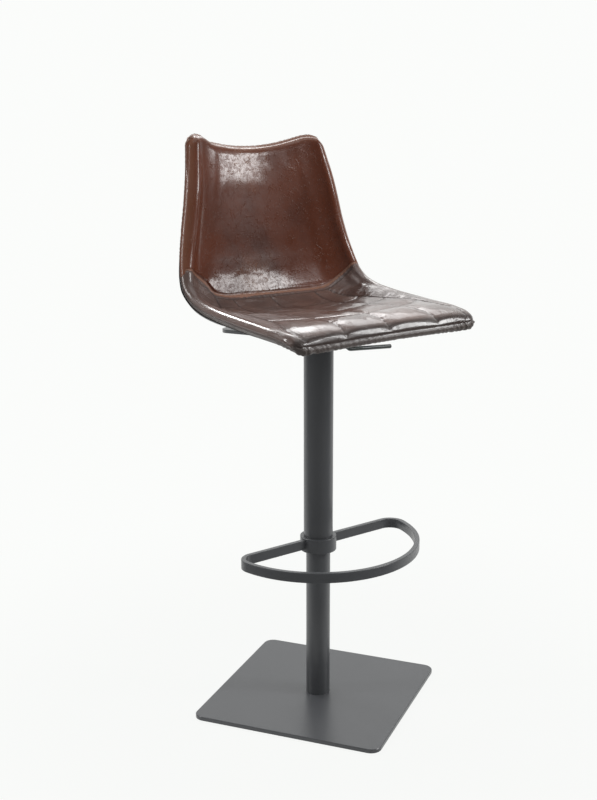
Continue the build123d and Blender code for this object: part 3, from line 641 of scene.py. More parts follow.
def addPiece(name, mesh, material, replaces=()):
    piece = addObject(name, mesh)
    mesh.materials.append(material)
    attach(piece, "lift")
    if replaces:
        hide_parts(*replaces)
    return piece


def outwardNormals(points):
    normal = np.cross(np.gradient(points, axis=0), np.gradient(points, axis=1))
    size = np.linalg.norm(normal, axis=-1, keepdims=True)
    return normal / np.maximum(size, 1e-12)


def waves(points, length, seed, count=7):
    # Soft random swell, the same on each run
    source = np.random.default_rng(seed)
    total = np.zeros(points.shape[:-1])
    for _ in range(count):
        direction = source.normal(size=3)
        direction *= 2 * np.pi / length * source.uniform(0.6, 1.6) / np.linalg.norm(direction)
        total += np.sin(points @ direction + source.uniform(0, 2 * np.pi))
    return total / math.sqrt(count)


def seamDistance(points, paths, step=0.0015, offset=0.37):
    # How far each point is from the nearest sewing line, and how far along that line
    spots, along = [], []
    for path in paths:
        run = np.concatenate([[0], np.cumsum(np.linalg.norm(np.diff(path, axis=0), axis=1))])
        spaced = np.arange(0, run[-1], step)
        spots.append(np.stack([np.interp(spaced, run, path[:, k]) for k in range(3)], axis=1))
        along.append(spaced + offset * len(along))
    spots, along = np.concatenate(spots), np.concatenate(along)
    tree = KDTree(len(spots))
    for index, spot in enumerate(spots.tolist()):
        tree.insert(spot, index)
    tree.balance()
    found = [tree.find(place)[1:] for place in points.reshape(-1, 3).tolist()]
    index = np.array([f[0] for f in found])
    distance = np.array([f[1] for f in found])
    return distance.reshape(points.shape[:2]), along[index].reshape(points.shape[:2])


def readGrid(grid, rows, columns):
    # A grid's values between its rows and columns
    i = np.clip(rows.astype(int), 0, grid.shape[0] - 2)
    j = np.clip(columns.astype(int), 0, grid.shape[1] - 2)
    u, v = (rows - i)[..., None], (columns - j)[..., None]
    upper = grid[i, j] * (1 - v) + grid[i, j + 1] * v
    lower = grid[i + 1, j] * (1 - v) + grid[i + 1, j + 1] * v
    return upper * (1 - u) + lower * u


def neighbours(grid):
    # Sum of the four values round each one
    wide = np.pad(grid, ((1, 1), (1, 1), (0, 0)), mode="edge")
    return wide[:-2, 1:-1] + wide[2:, 1:-1] + wide[1:-1, :-2] + wide[1:-1, 2:]


def relax(points, share, rounds):
    # Evens out the places where rows and columns bunch up
    for _ in range(rounds):
        points = points + (neighbours(points) / 4 - points) * share[..., None]
    return points


clothSettings = {"quality": 6, "mass": 0.25, "tension_stiffness": 12, "compression_stiffness": 12,
                 "shear_stiffness": 4, "use_pressure": True}
clothFrames = 20
fine = 2      # rows and columns for each one of the cloth


def swell(name, points, held, reach, settings):
    # Cloth under pressure, pinned along the seams and under the edge; gives the moves, which fade in
    coarse = points[::fine, ::fine]
    mesh = gridMesh(name, coarse)
    piece = addObject(name, mesh)
    group = piece.vertex_groups.new(name="held")
    group.add([int(i) for i in np.flatnonzero(held[::fine, ::fine].ravel())], 1.0, "REPLACE")
    cloth = piece.modifiers.new("cloth", "CLOTH")
    for key, value in {**clothSettings, **settings["cloth"]}.items():
        setattr(cloth.settings, key, value)
    cloth.settings.vertex_group_mass = "held"
    cloth.settings.effector_weights.gravity = 0
    cloth.collision_settings.use_collision = False
    cloth.collision_settings.use_self_collision = False
    cloth.point_cache.frame_start, cloth.point_cache.frame_end = 1, clothFrames
    scene = bpy.context.scene
    for number in range(1, clothFrames + 1):
        scene.frame_set(number)
    done = piece.evaluated_get(bpy.context.evaluated_depsgraph_get())
    places = np.empty(len(mesh.vertices) * 3)
    done.data.vertices.foreach_get("co", places)
    moved = places.reshape(coarse.shape) - coarse
    for _ in range(settings["smooth"]):
        moved = neighbours(moved) / 8 + moved / 2
    size = np.linalg.norm(moved, axis=-1, keepdims=True)
    moved *= np.minimum(1, settings["cap"] / np.maximum(size, 1e-9))
    print(name, "swelled by up to", round(float(size.max()) * 1000, 1), "mm")
    scene.frame_set(1)
    bpy.data.objects.remove(piece)
    bpy.data.meshes.remove(mesh)
    rows, columns = [np.linspace(0, size - 1, count) for size, count in zip(moved.shape, points.shape[:2])]
    return readGrid(moved, rows[:, None], columns[None, :]) * reach[..., None]


# The overlocked edge: where round the rim the leather ends, and the gathered strip sewn on under it
edgeTrim = {
    "seam": 0.60, "seamUp": 0.14,      # 0 is above, 0.5 outermost and 1 below; higher up across a pad's end
    "endReach": 0.3, "grooveDepth": 0.0012, "grooveReach": 0.03, "stripRise": 0.0009, "gather": 0.0004,
    "gatherPitch": 0.0115, "gatherWander": 2.2, "wanderPitch": 0.03,
    "cornerGather": 0.0013, "corner": (0.19, -0.2), "cornerReach": 0.045,
    "swell": (0.86, 0.2), "front": (0.9, 0.2),      # where they end, and how softly
    "strip": (0.08, 0.06),      # how softly it starts and ends
}
puckers = {"pitch": 0.0105, "wander": 1.7, "wanderPitch": 0.043}


def seamLevel(nose):
    return edgeTrim["seam"] - edgeTrim["seamUp"] * smoothStep(nose / edgeTrim["endReach"])


def dressPad(points, middle, last, settings, seams, field, nose, ends, seed):
    # Pad between the seams, with a groove along each and puckers beside it
    normals = outwardNormals(points)
    centre = points.shape[0] // 2
    if np.dot(normals[centre, middle], points[centre, middle] - points[centre, 0]) < 0:
        normals = -normals
    run = np.concatenate([np.zeros((len(points), 1)),
                          np.cumsum(np.linalg.norm(np.diff(points, axis=1), axis=-1), axis=1)], 1)
    fromEdge = np.minimum(run - run[:, middle - last:middle - last + 1],
                          run[:, middle + last:middle + last + 1] - run)
    inside = smoothStep((fromEdge - settings["edgeStart"]) / settings["edgeWidth"]) * ends[:, None]
    distance, along = seamDistance(points, seams)
    puff = settings["puff"] * (1 - np.exp(-distance / settings["puffReach"]))
    groove = settings["groove"] * np.exp(-(distance / settings["grooveWidth"]) ** 2)
    wander = puckers["wander"] * np.sin(2 * np.pi * along / puckers["wanderPitch"])
    ripple = np.sin(2 * np.pi * along / puckers["pitch"] + wander)
    pucker = settings["pucker"] * ripple * np.exp(-distance / settings["puckerReach"])
    uneven = settings["uneven"] * (waves(points, 0.16, seed) + 0.35 * waves(points, 0.06, seed + 1))
    height = (puff - groove + pucker) * inside + uneven * smoothStep(inside * 1.4)
    # the rim is rounded out down to the overlocked seam
    seamAt = seamLevel(nose)[:, None]
    swellEnd, swellSoft = edgeTrim["swell"]
    height = height + settings["edgeSwell"] * smoothStep((swellEnd - field) / swellSoft)
    height = height - edgeTrim["grooveDepth"] * np.exp(-((field - seamAt) / edgeTrim["grooveReach"]) ** 2)
    wander = edgeTrim["gatherWander"] * waves(points, edgeTrim["wanderPitch"], seed + 2)
    gather = np.sin(2 * np.pi * points.sum(axis=-1) / edgeTrim["gatherPitch"] + wander)
    cornerX, cornerY = edgeTrim["corner"]
    corner = np.exp(-((np.abs(points[..., 0]) - cornerX) ** 2 + (points[..., 1] - cornerY) ** 2)
                    / edgeTrim["cornerReach"] ** 2)
    stripTop, stripLow = edgeTrim["strip"]
    strip = smoothStep((field - seamAt) / stripTop) * smoothStep((1.0 - field) / stripLow)
    frontEnd, frontSoft = edgeTrim["front"]
    front = smoothStep(nose / edgeTrim["endReach"])[:, None] * smoothStep((frontEnd - field) / frontSoft)
    gathered = gather * (edgeTrim["gather"] + edgeTrim["cornerGather"] * corner)
    height = height + strip * (edgeTrim["stripRise"] + settings["hang"] * front + gathered)
    return normals, height, distance, inside


def closeEnds(points, middle):
    # The first column meets the last underneath, and at both ends the upper columns meet the under ones
    points[:, 0] = points[:, -1] = (points[:, 0] + points[:, -1]) / 2
    upper = np.arange(middle + 1)
    for row in (0, -1):
        line = points[row].copy()
        for side in (-1, 1):
            half = line[middle + side * upper]
            points[row, middle + side * upper] = (half + half[::-1]) / 2
    return points


def edgeField(rowNose, around):
    # 0 on top, 0.5 at the outermost line, 1 underneath, both round the sides and round the nose
    nose, rim = rowNose[:, None], around[None, :]
    return np.where(rim > 0.5, np.minimum(rim, 1 - nose), np.maximum(rim, nose))


# The seat cushion, with its quilting and side seams
seatPad = {
    "top": (20, 16, 16, 2), "rim": 6, "noseRows": 7, "nosePower": 2.9, "noseLength": 0.0195,
    "rowCounts": (12, 18, 16, 30), "tail": 0.012, "tailRows": 3, "tailPower": 2.2,
    "puff": 0.0029, "puffReach": 0.013, "groove": 0.0011, "grooveWidth": 0.0015, "pucker": 0.0004,
    "puckerReach": 0.007, "uneven": 0.0005, "edgeStart": -0.002, "edgeWidth": 0.018, "edgeSwell": 0.0022,
    "hang": 0.0015, "fill": 0.6, "cap": 0.0016, "smooth": 4,
    "cloth": {"bending_stiffness": 0.6, "shrink_min": -0.009, "uniform_pressure_force": 2.5},
}


def sideSeam(depth):
    return curve(seamPlan["sideDepth"], seamPlan["sideAcross"], depth)


def seatLines(side, surface, dense):
    lines = [crossing(surface[..., 1] - (seatForm["front"] - 0.0001), dense)]
    lines.append(crossing(surface[..., 1] - (seatForm["front"] + seatPad["noseLength"]), dense))
    for depth in seamPlan["rows"]:
        across = sideSeam([depth + seamPlan["rowBow"]])[0]
        lines.append(crossing(rowField(surface, depth, across), dense))
    lines.append(crossing(hemField(surface), dense))
    lines.append(lines[-1] + seatPad["tail"])
    return lines


def seatBreaks(side, depth):
    quilt = seamPlan["quiltLeft"] if side < 0 else seamPlan["quiltRight"]
    return [curve(seamPlan["quiltDepth"], quilt, depth), sideSeam(depth)]


def seatRows():
    # Each row: the lines it lies between, its share of the way, its thickness and how hollow it is underneath
    along, thin = noseShares(seatPad["noseRows"] * fine, seatPad["nosePower"])
    rows = [(0, 1, a, k, 0.0) for a, k in zip(along, thin)]
    marks = []
    for index, count in enumerate(seatPad["rowCounts"]):
        rows += [(index + 1, index + 2, f, 1.0, 1.0 if index else min(1.0, i / 3)) for i, f in
                 enumerate(np.linspace(0, 1, count * fine + 1)[1:], 1)]
        marks.append(len(rows) - 1)
    along, thin = noseShares(seatPad["tailRows"] * fine, seatPad["tailPower"])
    rows += [(5, 6, 1 - a, k, 1.0) for a, k in list(zip(along, thin))[::-1][1:]]
    return rows, marks


seatPlan, seatMarks = seatRows()
seatPoints, seatAround, seatMiddle, seatLast = padLoops(seatLines, seatBreaks, seatPad, seatPlan)
quiltColumn, sideColumn = fine * seatPad["top"][0], fine * sum(seatPad["top"][:2])
noseEnd, seamRow = seatPad["noseRows"] * fine, seatMarks[-1]
seatSeams = [seatPoints[2:seamRow + 1, seatMiddle + offset] for offset in (-quiltColumn, 0, quiltColumn)]
seatSeams += [seatPoints[row, seatMiddle - sideColumn:seatMiddle + sideColumn + 1] for row in seatMarks[:-1]]
seatSeams += [seatPoints[6:seamRow + 1, seatMiddle + offset] for offset in (-sideColumn, sideColumn)]
seatSeams.append(seatPoints[seamRow, seatMiddle - seatLast:seatMiddle + seatLast + 1])
noseFront = np.zeros(len(seatPlan))
noseFront[:noseEnd + 1] = 0.5 * (1 - np.arange(noseEnd + 1) / noseEnd)
seatField = edgeField(noseFront, seatAround)
seatEnds = smoothStep((np.arange(len(seatPlan)) - 1) / 9)
seatNormals, height, seatSeam, inside = dressPad(seatPoints, seatMiddle, seatLast, seatPad, seatSeams,
                                                 seatField, noseFront, seatEnds, 11)
seatPoints = seatPoints + seatNormals * height[..., None]
held = (inside < 0.2) | (seatSeam < 0.003)
held[:noseEnd + 4] = True
held[seamRow - 4:] = True
seatPoints = seatPoints + swell("seatSwell", seatPoints, held, smoothStep((inside - 0.2) / 0.8), seatPad)
seatPoints = closeEnds(seatPoints, seatMiddle)
print("seat cushion laid out", seatPoints.shape)

# The back cushion, with its folded hem over the seat leather
backPad = {
    "top": (26, 22, 2), "wing": 0.085, "rim": 6, "hemRows": 3, "topRows": 8, "topPower": 2.5,
    "topLength": 0.018, "rowCount": 52, "tailRows": 2, "tailPower": 2.2, "fold": 0.0035, "foldDepth": 0.0011,
    "puff": 0.0030, "puffReach": 0.022, "groove": 0.0012, "grooveWidth": 0.0022, "pucker": 0.00006,
    "puckerReach": 0.009, "uneven": 0.00022, "edgeStart": 0.006, "edgeWidth": 0.045, "edgeSwell": 0.0024,
    "proud": 0.0014, "hang": 0.0004, "lean": 0.0028, "leanFrom": 1.058, "leanOver": 0.078,
    "fill": 0.45, "cap": 0.0014, "smooth": 30,
    "cloth": {"bending_stiffness": 3.0, "shrink_min": 0.0, "uniform_pressure_force": 0.6},
}


def backLines(side, surface, dense):
    seam = crossing(hemField(surface), dense)
    top = crossing(topField(surface), dense)
    return [seam, seam + backPad["fold"], seam + seamPlan["hemWidth"], top - backPad["topLength"], top]


def backBreaks(side, depth):
    return [np.full(len(depth), backPad["wing"])]


def backRows():
    along, thin = noseShares(backPad["tailRows"] * fine, backPad["tailPower"])
    rows = [(0, 1, a, k, 0.0) for a, k in zip(along, thin)]
    rows += [(1, 2, f, 1.0, 0.3) for f in np.linspace(0, 1, backPad["hemRows"] * fine + 1)[1:]]
    hemTop = len(rows) - 1
    rows += [(2, 3, f, 1.0, 1.0 if f < 1 else 0.0)
             for f in np.linspace(0, 1, backPad["rowCount"] * fine + 1)[1:]]
    along, thin = noseShares(backPad["topRows"] * fine, backPad["topPower"])
    rows += [(3, 4, 1 - a, k, 0.0) for a, k in list(zip(along, thin))[::-1][1:]]
    return rows, hemTop


backPlan, hemTop = backRows()
backPoints, backAround, backMiddle, backLast = padLoops(backLines, backBreaks, backPad, backPlan)
backPoints = roundCorners(backPoints)
rowIndex, topCount = np.arange(len(backPlan)), backPad["topRows"] * fine
topStart = len(backPlan) - topCount
backEnds = np.clip(rowIndex / 4, 0, 1) * np.clip((len(backPlan) - 1 - rowIndex) / topCount, 0, 1)
noseTop = np.zeros(len(backPlan))
noseTop[topStart - 1:] = 0.5 * np.linspace(0, 1, topCount + 1)
backField = edgeField(noseTop, backAround)
hemSeam = backPoints[hemTop, backMiddle - backLast:backMiddle + backLast + 1]
backNormals, height, backSeam, inside = dressPad(backPoints, backMiddle, backLast, backPad, [hemSeam],
                                                 backField, noseTop, backEnds, 23)
isHem = (rowIndex <= hemTop)[:, None] * np.ones(len(backAround))
height = np.where((isHem > 0) & (backField < 0.3), 0.0, height) + backPad["proud"] * inside
height -= backPad["foldDepth"] * np.exp(-((rowIndex - hemTop) / 1.2) ** 2)[:, None] * inside
leaning = smoothStep((backPoints[..., 2] - backPad["leanFrom"]) / backPad["leanOver"])
height -= backPad["lean"] * leaning * (backField < 0.5)
across = np.abs(backPoints[..., 0])
backPoints = backPoints + backNormals * height[..., None]
held = (inside < 0.1) | (isHem > 0)
held[topStart - 2:] = True
held[:hemTop + 3] = True
reach = smoothStep((across.max(axis=1)[:, None] - across - 0.015) / 0.11) * inside
backPoints = backPoints + swell("backSwell", backPoints, held, reach, backPad)
rolled = 2 * np.minimum(backAround, 1 - backAround)
earShare = smoothStep((2 * noseTop[:, None] - 0.05) / 0.5) * smoothStep((rolled[None, :] - 0.05) / 0.5)
backPoints = closeEnds(relax(backPoints, 0.8 * earShare, 14), backMiddle)
print("back cushion laid out", backPoints.shape)

# Leather, with the shades of the strip sewn under its edge
leathers = {
    "seatLeather": {
        "dark": (0.094, 0.058, 0.049), "mid": (0.150, 0.092, 0.077), "warm": (0.180, 0.098, 0.075),
        "paleWornAndSheen": (0.17, 0.11, 0.09), "strip": ((0.055, 0.041, 0.036), (0.13, 0.106, 0.097)), "noseShade": 0.85,
        "frost": 0.75, "roughness": (0.27, 0.4), "specular": 0.6, "grain": 0.10, "crumple": 0.10,
        "coat": (0.5, 1.0), "coatRoughness": 0.07,
    },
    "backLeather": {
        # patches at the shoulders and the hips, painted paler as a painted highlight and more scuffed as
        # wear: across, up and reach
        "sheenAndWearSpots": ((-0.028, 1.105, 0.062), (-0.020, 0.874, 0.055)),
        "dark": (0.056, 0.0150, 0.0075), "mid": (0.087, 0.0225, 0.0100), "warm": (0.150, 0.036, 0.0130),
        "paleWornAndSheen": (0.32, 0.16, 0.10), "strip": ((0.20, 0.11, 0.08), (0.34, 0.21, 0.165)), "noseShade": 0.0,
        "frost": 0.35, "roughness": (0.26, 0.38), "specular": 0.28, "grain": 0.09, "crumple": 0.10,
        "coat": (0.4, 1.0), "coatRoughness": 0.13,
    },
    "coverLeather": {
        "dark": (0.012, 0.009, 0.008), "mid": (0.022, 0.016, 0.014), "warm": (0.032, 0.021, 0.017),
        "paleWornAndSheen": (0.07, 0.05, 0.04), "frost": 0.8, "roughness": (0.32, 0.48), "specular": 0.5, "grain": 0.3,
        "crumple": 0.06, "coat": (0.0, 0.2), "coatRoughness": 0.3,
    },
}
hemShades = ((0.28, 0.140, 0.095), (0.40, 0.225, 0.165))


def attribute(tree, name):
    return addNode(tree, "Attribute", {"attribute_name": name}).outputs["Fac"]


def makeSheenAndWearSpots(tree, place, axes, spots):
    # 1 in the middle of each patch of painted highlight and wear, fading out in clouds
    cloud = times(tree, noise(tree, place, 34, 4, 0.6), 0.9)
    total = None
    for across, up, reach in spots:
        squares = [maths(tree, "POWER", maths(tree, "SUBTRACT", axes[axis], middle), 2.0)
                   for axis, middle in ((0, across), (2, up))]
        distance = maths(tree, "DIVIDE", maths(tree, "POWER", plus(tree, *squares), 0.5), reach)
        spot = ramp(tree, plus(tree, distance, cloud), 0.6, 1.6, 1.0, 0.0)
        total = spot if total is None else most(tree, total, spot)
    return total


def dressEdges(tree, place, settings, tone, rough):
    # Darker along the seams, paler along the edges, painted shade on the front face of the seat's nose, and
    # the strip and the hem are duller
    tone = mixColour(tree, ramp(tree, attribute(tree, "seam"), 0.0, 0.0035, 0.6, 0.0), tone,
                     shade(settings["dark"], 0.35))
    tone = mixColour(tree, times(tree, attribute(tree, "edge"), 0.55), tone, settings["paleWornAndSheen"])
    # painted shade: the front face of the seat's nose, which faces down and away from the lamps, is darkened
    tone = mixColour(tree, times(tree, attribute(tree, "waxAndNoseShade"), settings["noseShade"]), tone,
                     shade(settings["dark"], 0.3))
    folds = noise(tree, place, 160, 3)
    for label, share, shades, dull in (("tape", 0.85, settings["strip"], 0.18),
                                       ("hem", 0.8, hemShades, 0.16)):
        mask = attribute(tree, label)
        tone = mixColour(tree, times(tree, mask, share), tone, mixColour(tree, folds, *shades))
        rough = plus(tree, rough, times(tree, mask, dull))
    return tone, rough


def makeLeather(name, settings):
    material, tree, shader = newMaterial(name, Specular_IOR_Level=settings["specular"],
                                         Coat_Roughness=settings["coatRoughness"])
    place = objectPlace(tree)
    skin, waxAndNoseShade = useGroup(tree, grain, place), useGroup(tree, scuffs, place)
    tone = mixColour(tree, ramp(tree, noise(tree, place, 5.5, 4, 0.4), 0.36, 0.64), settings["dark"],
                     settings["mid"])
    tone = mixColour(tree, times(tree, waxAndNoseShade["Clouds"], 0.55), tone, settings["warm"])
    if "sheenAndWearSpots" in settings:
        # warmer towards the sides and the top; the shoulder and hip patches are painted paler as a painted
        # highlight and carry more scuff lines as wear
        axes = addNode(tree, "SeparateXYZ", Vector=place).outputs
        sides = ramp(tree, maths(tree, "ABSOLUTE", plus(tree, axes[0], 0.01)), 0.06, 0.19)
        warmth = most(tree, times(tree, sides, 0.75), times(tree, ramp(tree, axes[2], 0.9, 1.12), 0.5))
        tone = mixColour(tree, warmth, tone, settings["warm"])
        sheenAndWearSpots = makeSheenAndWearSpots(tree, place, axes, settings["sheenAndWearSpots"])
        # painted highlight: the patches are mixed towards the pale colour
        tone = mixColour(tree, times(tree, sheenAndWearSpots, 0.22), tone, settings["paleWornAndSheen"])
        lines = times(tree, waxAndNoseShade["Lines"], plus(tree, times(tree, sheenAndWearSpots, 0.75), 0.06))
    else:
        lines = times(tree, waxAndNoseShade["Lines"], ramp(tree, waxAndNoseShade["Clouds"], 0.1, 0.8, 0.04, 0.3))
    tone = mixColour(tree, lines, tone, settings["paleWornAndSheen"])
    tone = mixColour(tree, ramp(tree, skin["Crease"], 0.0, 1.0, 0.28, 0.0), tone, settings["dark"])
    rough = plus(tree, ramp(tree, noise(tree, place, 14, 5), 0.3, 0.7, *settings["roughness"]),
                 times(tree, lines, 0.25))
    polish = ramp(tree, noise(tree, place, 11, 4, 0.5), 0.35, 0.65, *settings["coat"])
    frost = noise(tree, place, 130, 5, 0.8)
    polish = times(tree, polish, ramp(tree, frost, 0.38, 0.58, settings["frost"], 1.0))
    polish = times(tree, polish, ramp(tree, waxAndNoseShade["Lines"], 0.0, 1.0, 1.0, 0.35))
    if "strip" in settings:
        tone, rough = dressEdges(tree, place, settings, tone, rough)
        dull = most(tree, attribute(tree, "tape"), attribute(tree, "hem"))
        polish = times(tree, polish, ramp(tree, dull, 0.0, 1.0, 1.0, 0.2))
    crumple = addNode(tree, "TexVoronoi", {"feature": "SMOOTH_F1"}, Vector=place, Scale=46.0).outputs[0]
    crumple = plus(tree, crumple, noise(tree, place, 70, 6, 0.5))
    normal = bump(tree, crumple, settings["crumple"], 0.0022)
    normal = bump(tree, skin["Height"], settings["grain"], 0.0012, normal)
    normal = bump(tree, waxAndNoseShade["Lines"], 0.5, 0.0008, normal)
    link(tree, shader, Base_Color=tone, Roughness=rough, Normal=normal, Coat_Weight=polish)
    return material


finishes.update({name: makeLeather(name, values) for name, values in leathers.items()})


def buildPad(name, points, field, nose, seam, hem, finish, node):
    mesh = gridMesh(name, points)
    for label, values in {
        "seam": seam, "hem": hem,
        "tape": smoothStep((field - seamLevel(nose)[:, None] - 0.004) / 0.016),
        "edge": np.exp(-((field - 0.36) / 0.16) ** 2) * 0.6,
        # painted shade on the front face of the seat's nose, darkened in the material
        "waxAndNoseShade": smoothStep(nose / 0.16 - 0.4)[:, None] * np.ones(field.shape),
    }.items():
        layer = mesh.attributes.new(label, "FLOAT", "POINT")
        layer.data.foreach_set("value", np.asarray(values, float).ravel())
    closeMesh(mesh)
    addPiece(name, mesh, finishes[finish], (node,))


buildPad("seatCushion", seatPoints, seatField, noseFront, seatSeam, np.zeros(seatField.shape), "seatLeather",
         "seat_pad")
buildPad("backCushion", backPoints, backField, noseTop, backSeam, isHem * (backField < 0.3), "backLeather",
         "back_pad")
print("cushions built")

# Sewing threads
threads = {
    "darkThread": {"colour": (0.030, 0.020, 0.016), "pale": (0.075, 0.052, 0.042)},
    "overlockThread": {"colour": (0.12, 0.092, 0.08), "pale": (0.22, 0.18, 0.165)},
    "tanThread": {"colour": (0.23, 0.085, 0.038), "pale": (0.36, 0.15, 0.08)},
}
stitchPlan = {
    "overlock": {"pitch": 0.0038, "size": (0.0050, 0.0009, 0.0007), "swing": 38, "lift": 0.0002},
    "double": {"pitch": 0.0048, "size": (0.0036, 0.0007, 0.0005), "swing": 0, "lift": 0.0001},
    "quilt": {"pitch": 0.0052, "size": (0.0038, 0.0006, 0.0005), "swing": 0, "lift": 0.0001},
    "hem": {"pitch": 0.0046, "size": (0.0034, 0.0008, 0.0006), "swing": 0, "lift": 0.0001},
}


def makeThread(name, settings):
    material, tree, shader = newMaterial(name, Specular_IOR_Level=0.4)
    place = objectPlace(tree)
    tone = mixColour(tree, noise(tree, place, 240, 2), settings["colour"], settings["pale"])
    twist = addNode(tree, "TexWave", {"bands_direction": "DIAGONAL"}, Vector=place, Scale=900.0).outputs[1]
    finishShader(tree, shader, tone, noise(tree, place, 90, 2), (0.4, 0.6), twist, 0.3, 0.0003)
    return material


finishes.update({name: makeThread(name, values) for name, values in threads.items()})


def stitchPlaces(points, normals, knots, pitch):
    # Even steps along a line given in rows and columns of the pad
    knots = np.asarray(knots, float)
    dense = np.linspace(0, len(knots) - 1, max(600, 60 * len(knots)))
    rows, columns = [np.interp(dense, np.arange(len(knots)), knots[:, k]) for k in (0, 1)]
    line = readGrid(points, rows, columns)
    run = np.concatenate([[0], np.cumsum(np.linalg.norm(np.diff(line, axis=0), axis=1))])
    at = np.arange(pitch / 2, run[-1], pitch)
    before, spots, after = [np.stack([np.interp(at + shift, run, line[:, k]) for k in range(3)], axis=1)
                            for shift in (-pitch / 4, 0, pitch / 4)]
    return spots, after - before, readGrid(normals, np.interp(at, run, rows), np.interp(at, run, columns))


def sewStitches(name, points, normals, lines, kind, thread):
    plan = stitchPlan[kind]
    size = Matrix.Diagonal((*plan["size"], 1))
    bm = bmesh.new()
    for knots in lines:
        places = stitchPlaces(points, normals, knots, plan["pitch"])
        for index, (spot, way, rise) in enumerate(zip(*(values.tolist() for values in places))):
            way, rise = Vector(way).normalized(), Vector(rise).normalized()
            swing = math.radians(plan["swing"]) * (1 if index % 2 else -1)
            lead = way * math.cos(swing) + rise.cross(way).normalized() * math.sin(swing)
            turn = Matrix((lead, rise.cross(lead).normalized(), rise)).transposed().to_4x4()
            place = Matrix.Translation(Vector(spot) + rise * plan["lift"])
            bmesh.ops.create_icosphere(bm, subdivisions=1, radius=0.5, matrix=place @ turn @ size)
    addPiece(name, intoMesh(bm, bpy.data.meshes.new(name)), finishes[thread])
    print(name, "sewn")


def rimLines(middle, last, rim, rows, nose):
    # Down both sides along the leather's edge, then along the end to the middle
    columns = list(last + 2 * rim * seamLevel(np.interp(rows, np.arange(len(nose)), nose)))
    rows, columns = list(rows) + [rows[-1]], columns + [2 * last + 2 * rim - 1]
    return [[(row, middle + side * column) for row, column in zip(rows, columns)] for side in (-1, 1)]


def lineAlong(column, start, end, count=40):
    return [(row, column) for row in np.linspace(start, end, count)]


def lineAcross(row, start, end, count):
    return [(row, column) for column in np.linspace(start, end, count)]


cornerShare = 0.11      # how near the pad's end the stitches turn the corner
seatEdgeRows = np.concatenate([[seamRow], np.linspace(noseEnd, noseEnd * cornerShare, 12)])
backEdgeRows = np.concatenate([[1], np.linspace(topStart, len(backPlan) - 1 - topCount * cornerShare, 12)])
sewStitches("seatOverlock", seatPoints, seatNormals,
            rimLines(seatMiddle, seatLast, seatPad["rim"] * fine, seatEdgeRows, noseFront),
            "overlock", "overlockThread")
sewStitches("backOverlock", backPoints, backNormals,
            rimLines(backMiddle, backLast, backPad["rim"] * fine, backEdgeRows, noseTop),
            "overlock", "overlockThread")
sewStitches("sideStitches", seatPoints, seatNormals,
            [lineAlong(seatMiddle + side * (sideColumn + shift), seamRow, 5) for side in (-1, 1)
             for shift in (-1.6, 1.6)], "double", "darkThread")
sewStitches("quiltStitches", seatPoints, seatNormals,
            [lineAlong(seatMiddle + shift, 3, seamRow - 2) for shift in (-quiltColumn, 0, quiltColumn)]
            + [lineAcross(row, seatMiddle - sideColumn, seatMiddle + sideColumn, 60)
               for row in seatMarks[:-1]], "quilt", "darkThread")
sewStitches("hemStitches", backPoints, backNormals,
            [lineAcross(hemTop - 1.6, backMiddle - backLast, backMiddle + backLast, 90)],
            "hem", "tanThread")

# The cover behind the back and under the seat, between the turned-under edges
coverSettings = {
    "rim": 0.0093, "inset": 0.0006, "thickness": 0.0019, "columns": 56, "rows": 130, "uneven": 0.0003,
    "edgeRise": 0.0013, "edgeFrom": 0.8, "edgeOver": 0.14, "stitchInset": 2.2,
}


def buildCover(settings):
    dense = np.linspace(0, formLength, 700)
    cut = shape(cutSections(dense), 1)
    shares = np.linspace(0, 1, settings["columns"] + 1)
    column = (2 - settings["inset"] / cut["wingLength"]) * shares[None, :]
    halves = []
    for side in (-1, 1):
        surface = toSpace(cut, upperPoint(cut, column, 0.0), side)
        start = crossing(surface[..., 1] - seatForm["front"] - settings["rim"], dense)
        end = crossing(topField(surface) + settings["rim"], dense)
        places = start + (end - start) * np.linspace(0, 1, settings["rows"] + 1)[:, None]
        here = np.stack([np.interp(places[:, j], dense, column[:, j]) for j in range(len(shares))], axis=1)
        rowCut = shape(cutSections(places.ravel()), len(shares))
        halves.append(toSpace(rowCut, upperPoint(rowCut, here, rowCut["thick"]), side))
    points = roundCorners(np.concatenate([halves[0][:, :0:-1], halves[1]], axis=1))
    normals = outwardNormals(points)
    if normals[5, settings["columns"]][2] > 0:
        normals = -normals
    across = np.abs(np.arange(points.shape[1]) - settings["columns"]) / settings["columns"]
    rise = settings["edgeRise"] * smoothStep((across - settings["edgeFrom"]) / settings["edgeOver"])[None, :]
    points = points + normals * (settings["uneven"] * (waves(points, 0.12, 31) - 1) + rise)[..., None]
    mesh = gridMesh("rearCover", points)
    bm = bmesh.new()
    bm.from_mesh(mesh)
    bmesh.ops.recalc_face_normals(bm, faces=bm.faces)
    bm.faces.ensure_lookup_table()
    if bm.faces[len(bm.faces) // 2].normal.dot(Vector((0, 1, -1))) > 0:
        bmesh.ops.reverse_faces(bm, faces=bm.faces)
    bmesh.ops.solidify(bm, geom=list(bm.faces), thickness=settings["thickness"])
    bmesh.ops.recalc_face_normals(bm, faces=bm.faces)
    return points, normals, intoMesh(bm, mesh)


coverPoints, coverNormals, coverMesh = buildCover(coverSettings)
addPiece("rearCover", coverMesh, finishes["coverLeather"], ("rear_cover",))
inset, columnsEnd, rowsEnd = coverSettings["stitchInset"], 2 * coverSettings["columns"], coverSettings["rows"]
sewStitches("coverStitches", coverPoints, coverNormals,
            [lineAlong(column, 2, rowsEnd - 2) for column in (inset, columnsEnd - inset)]
            + [lineAcross(row, inset, columnsEnd - inset, 40) for row in (2.4, rowsEnd - 2.4)],
            "double", "overlockThread")
print("stitches and rear cover built")

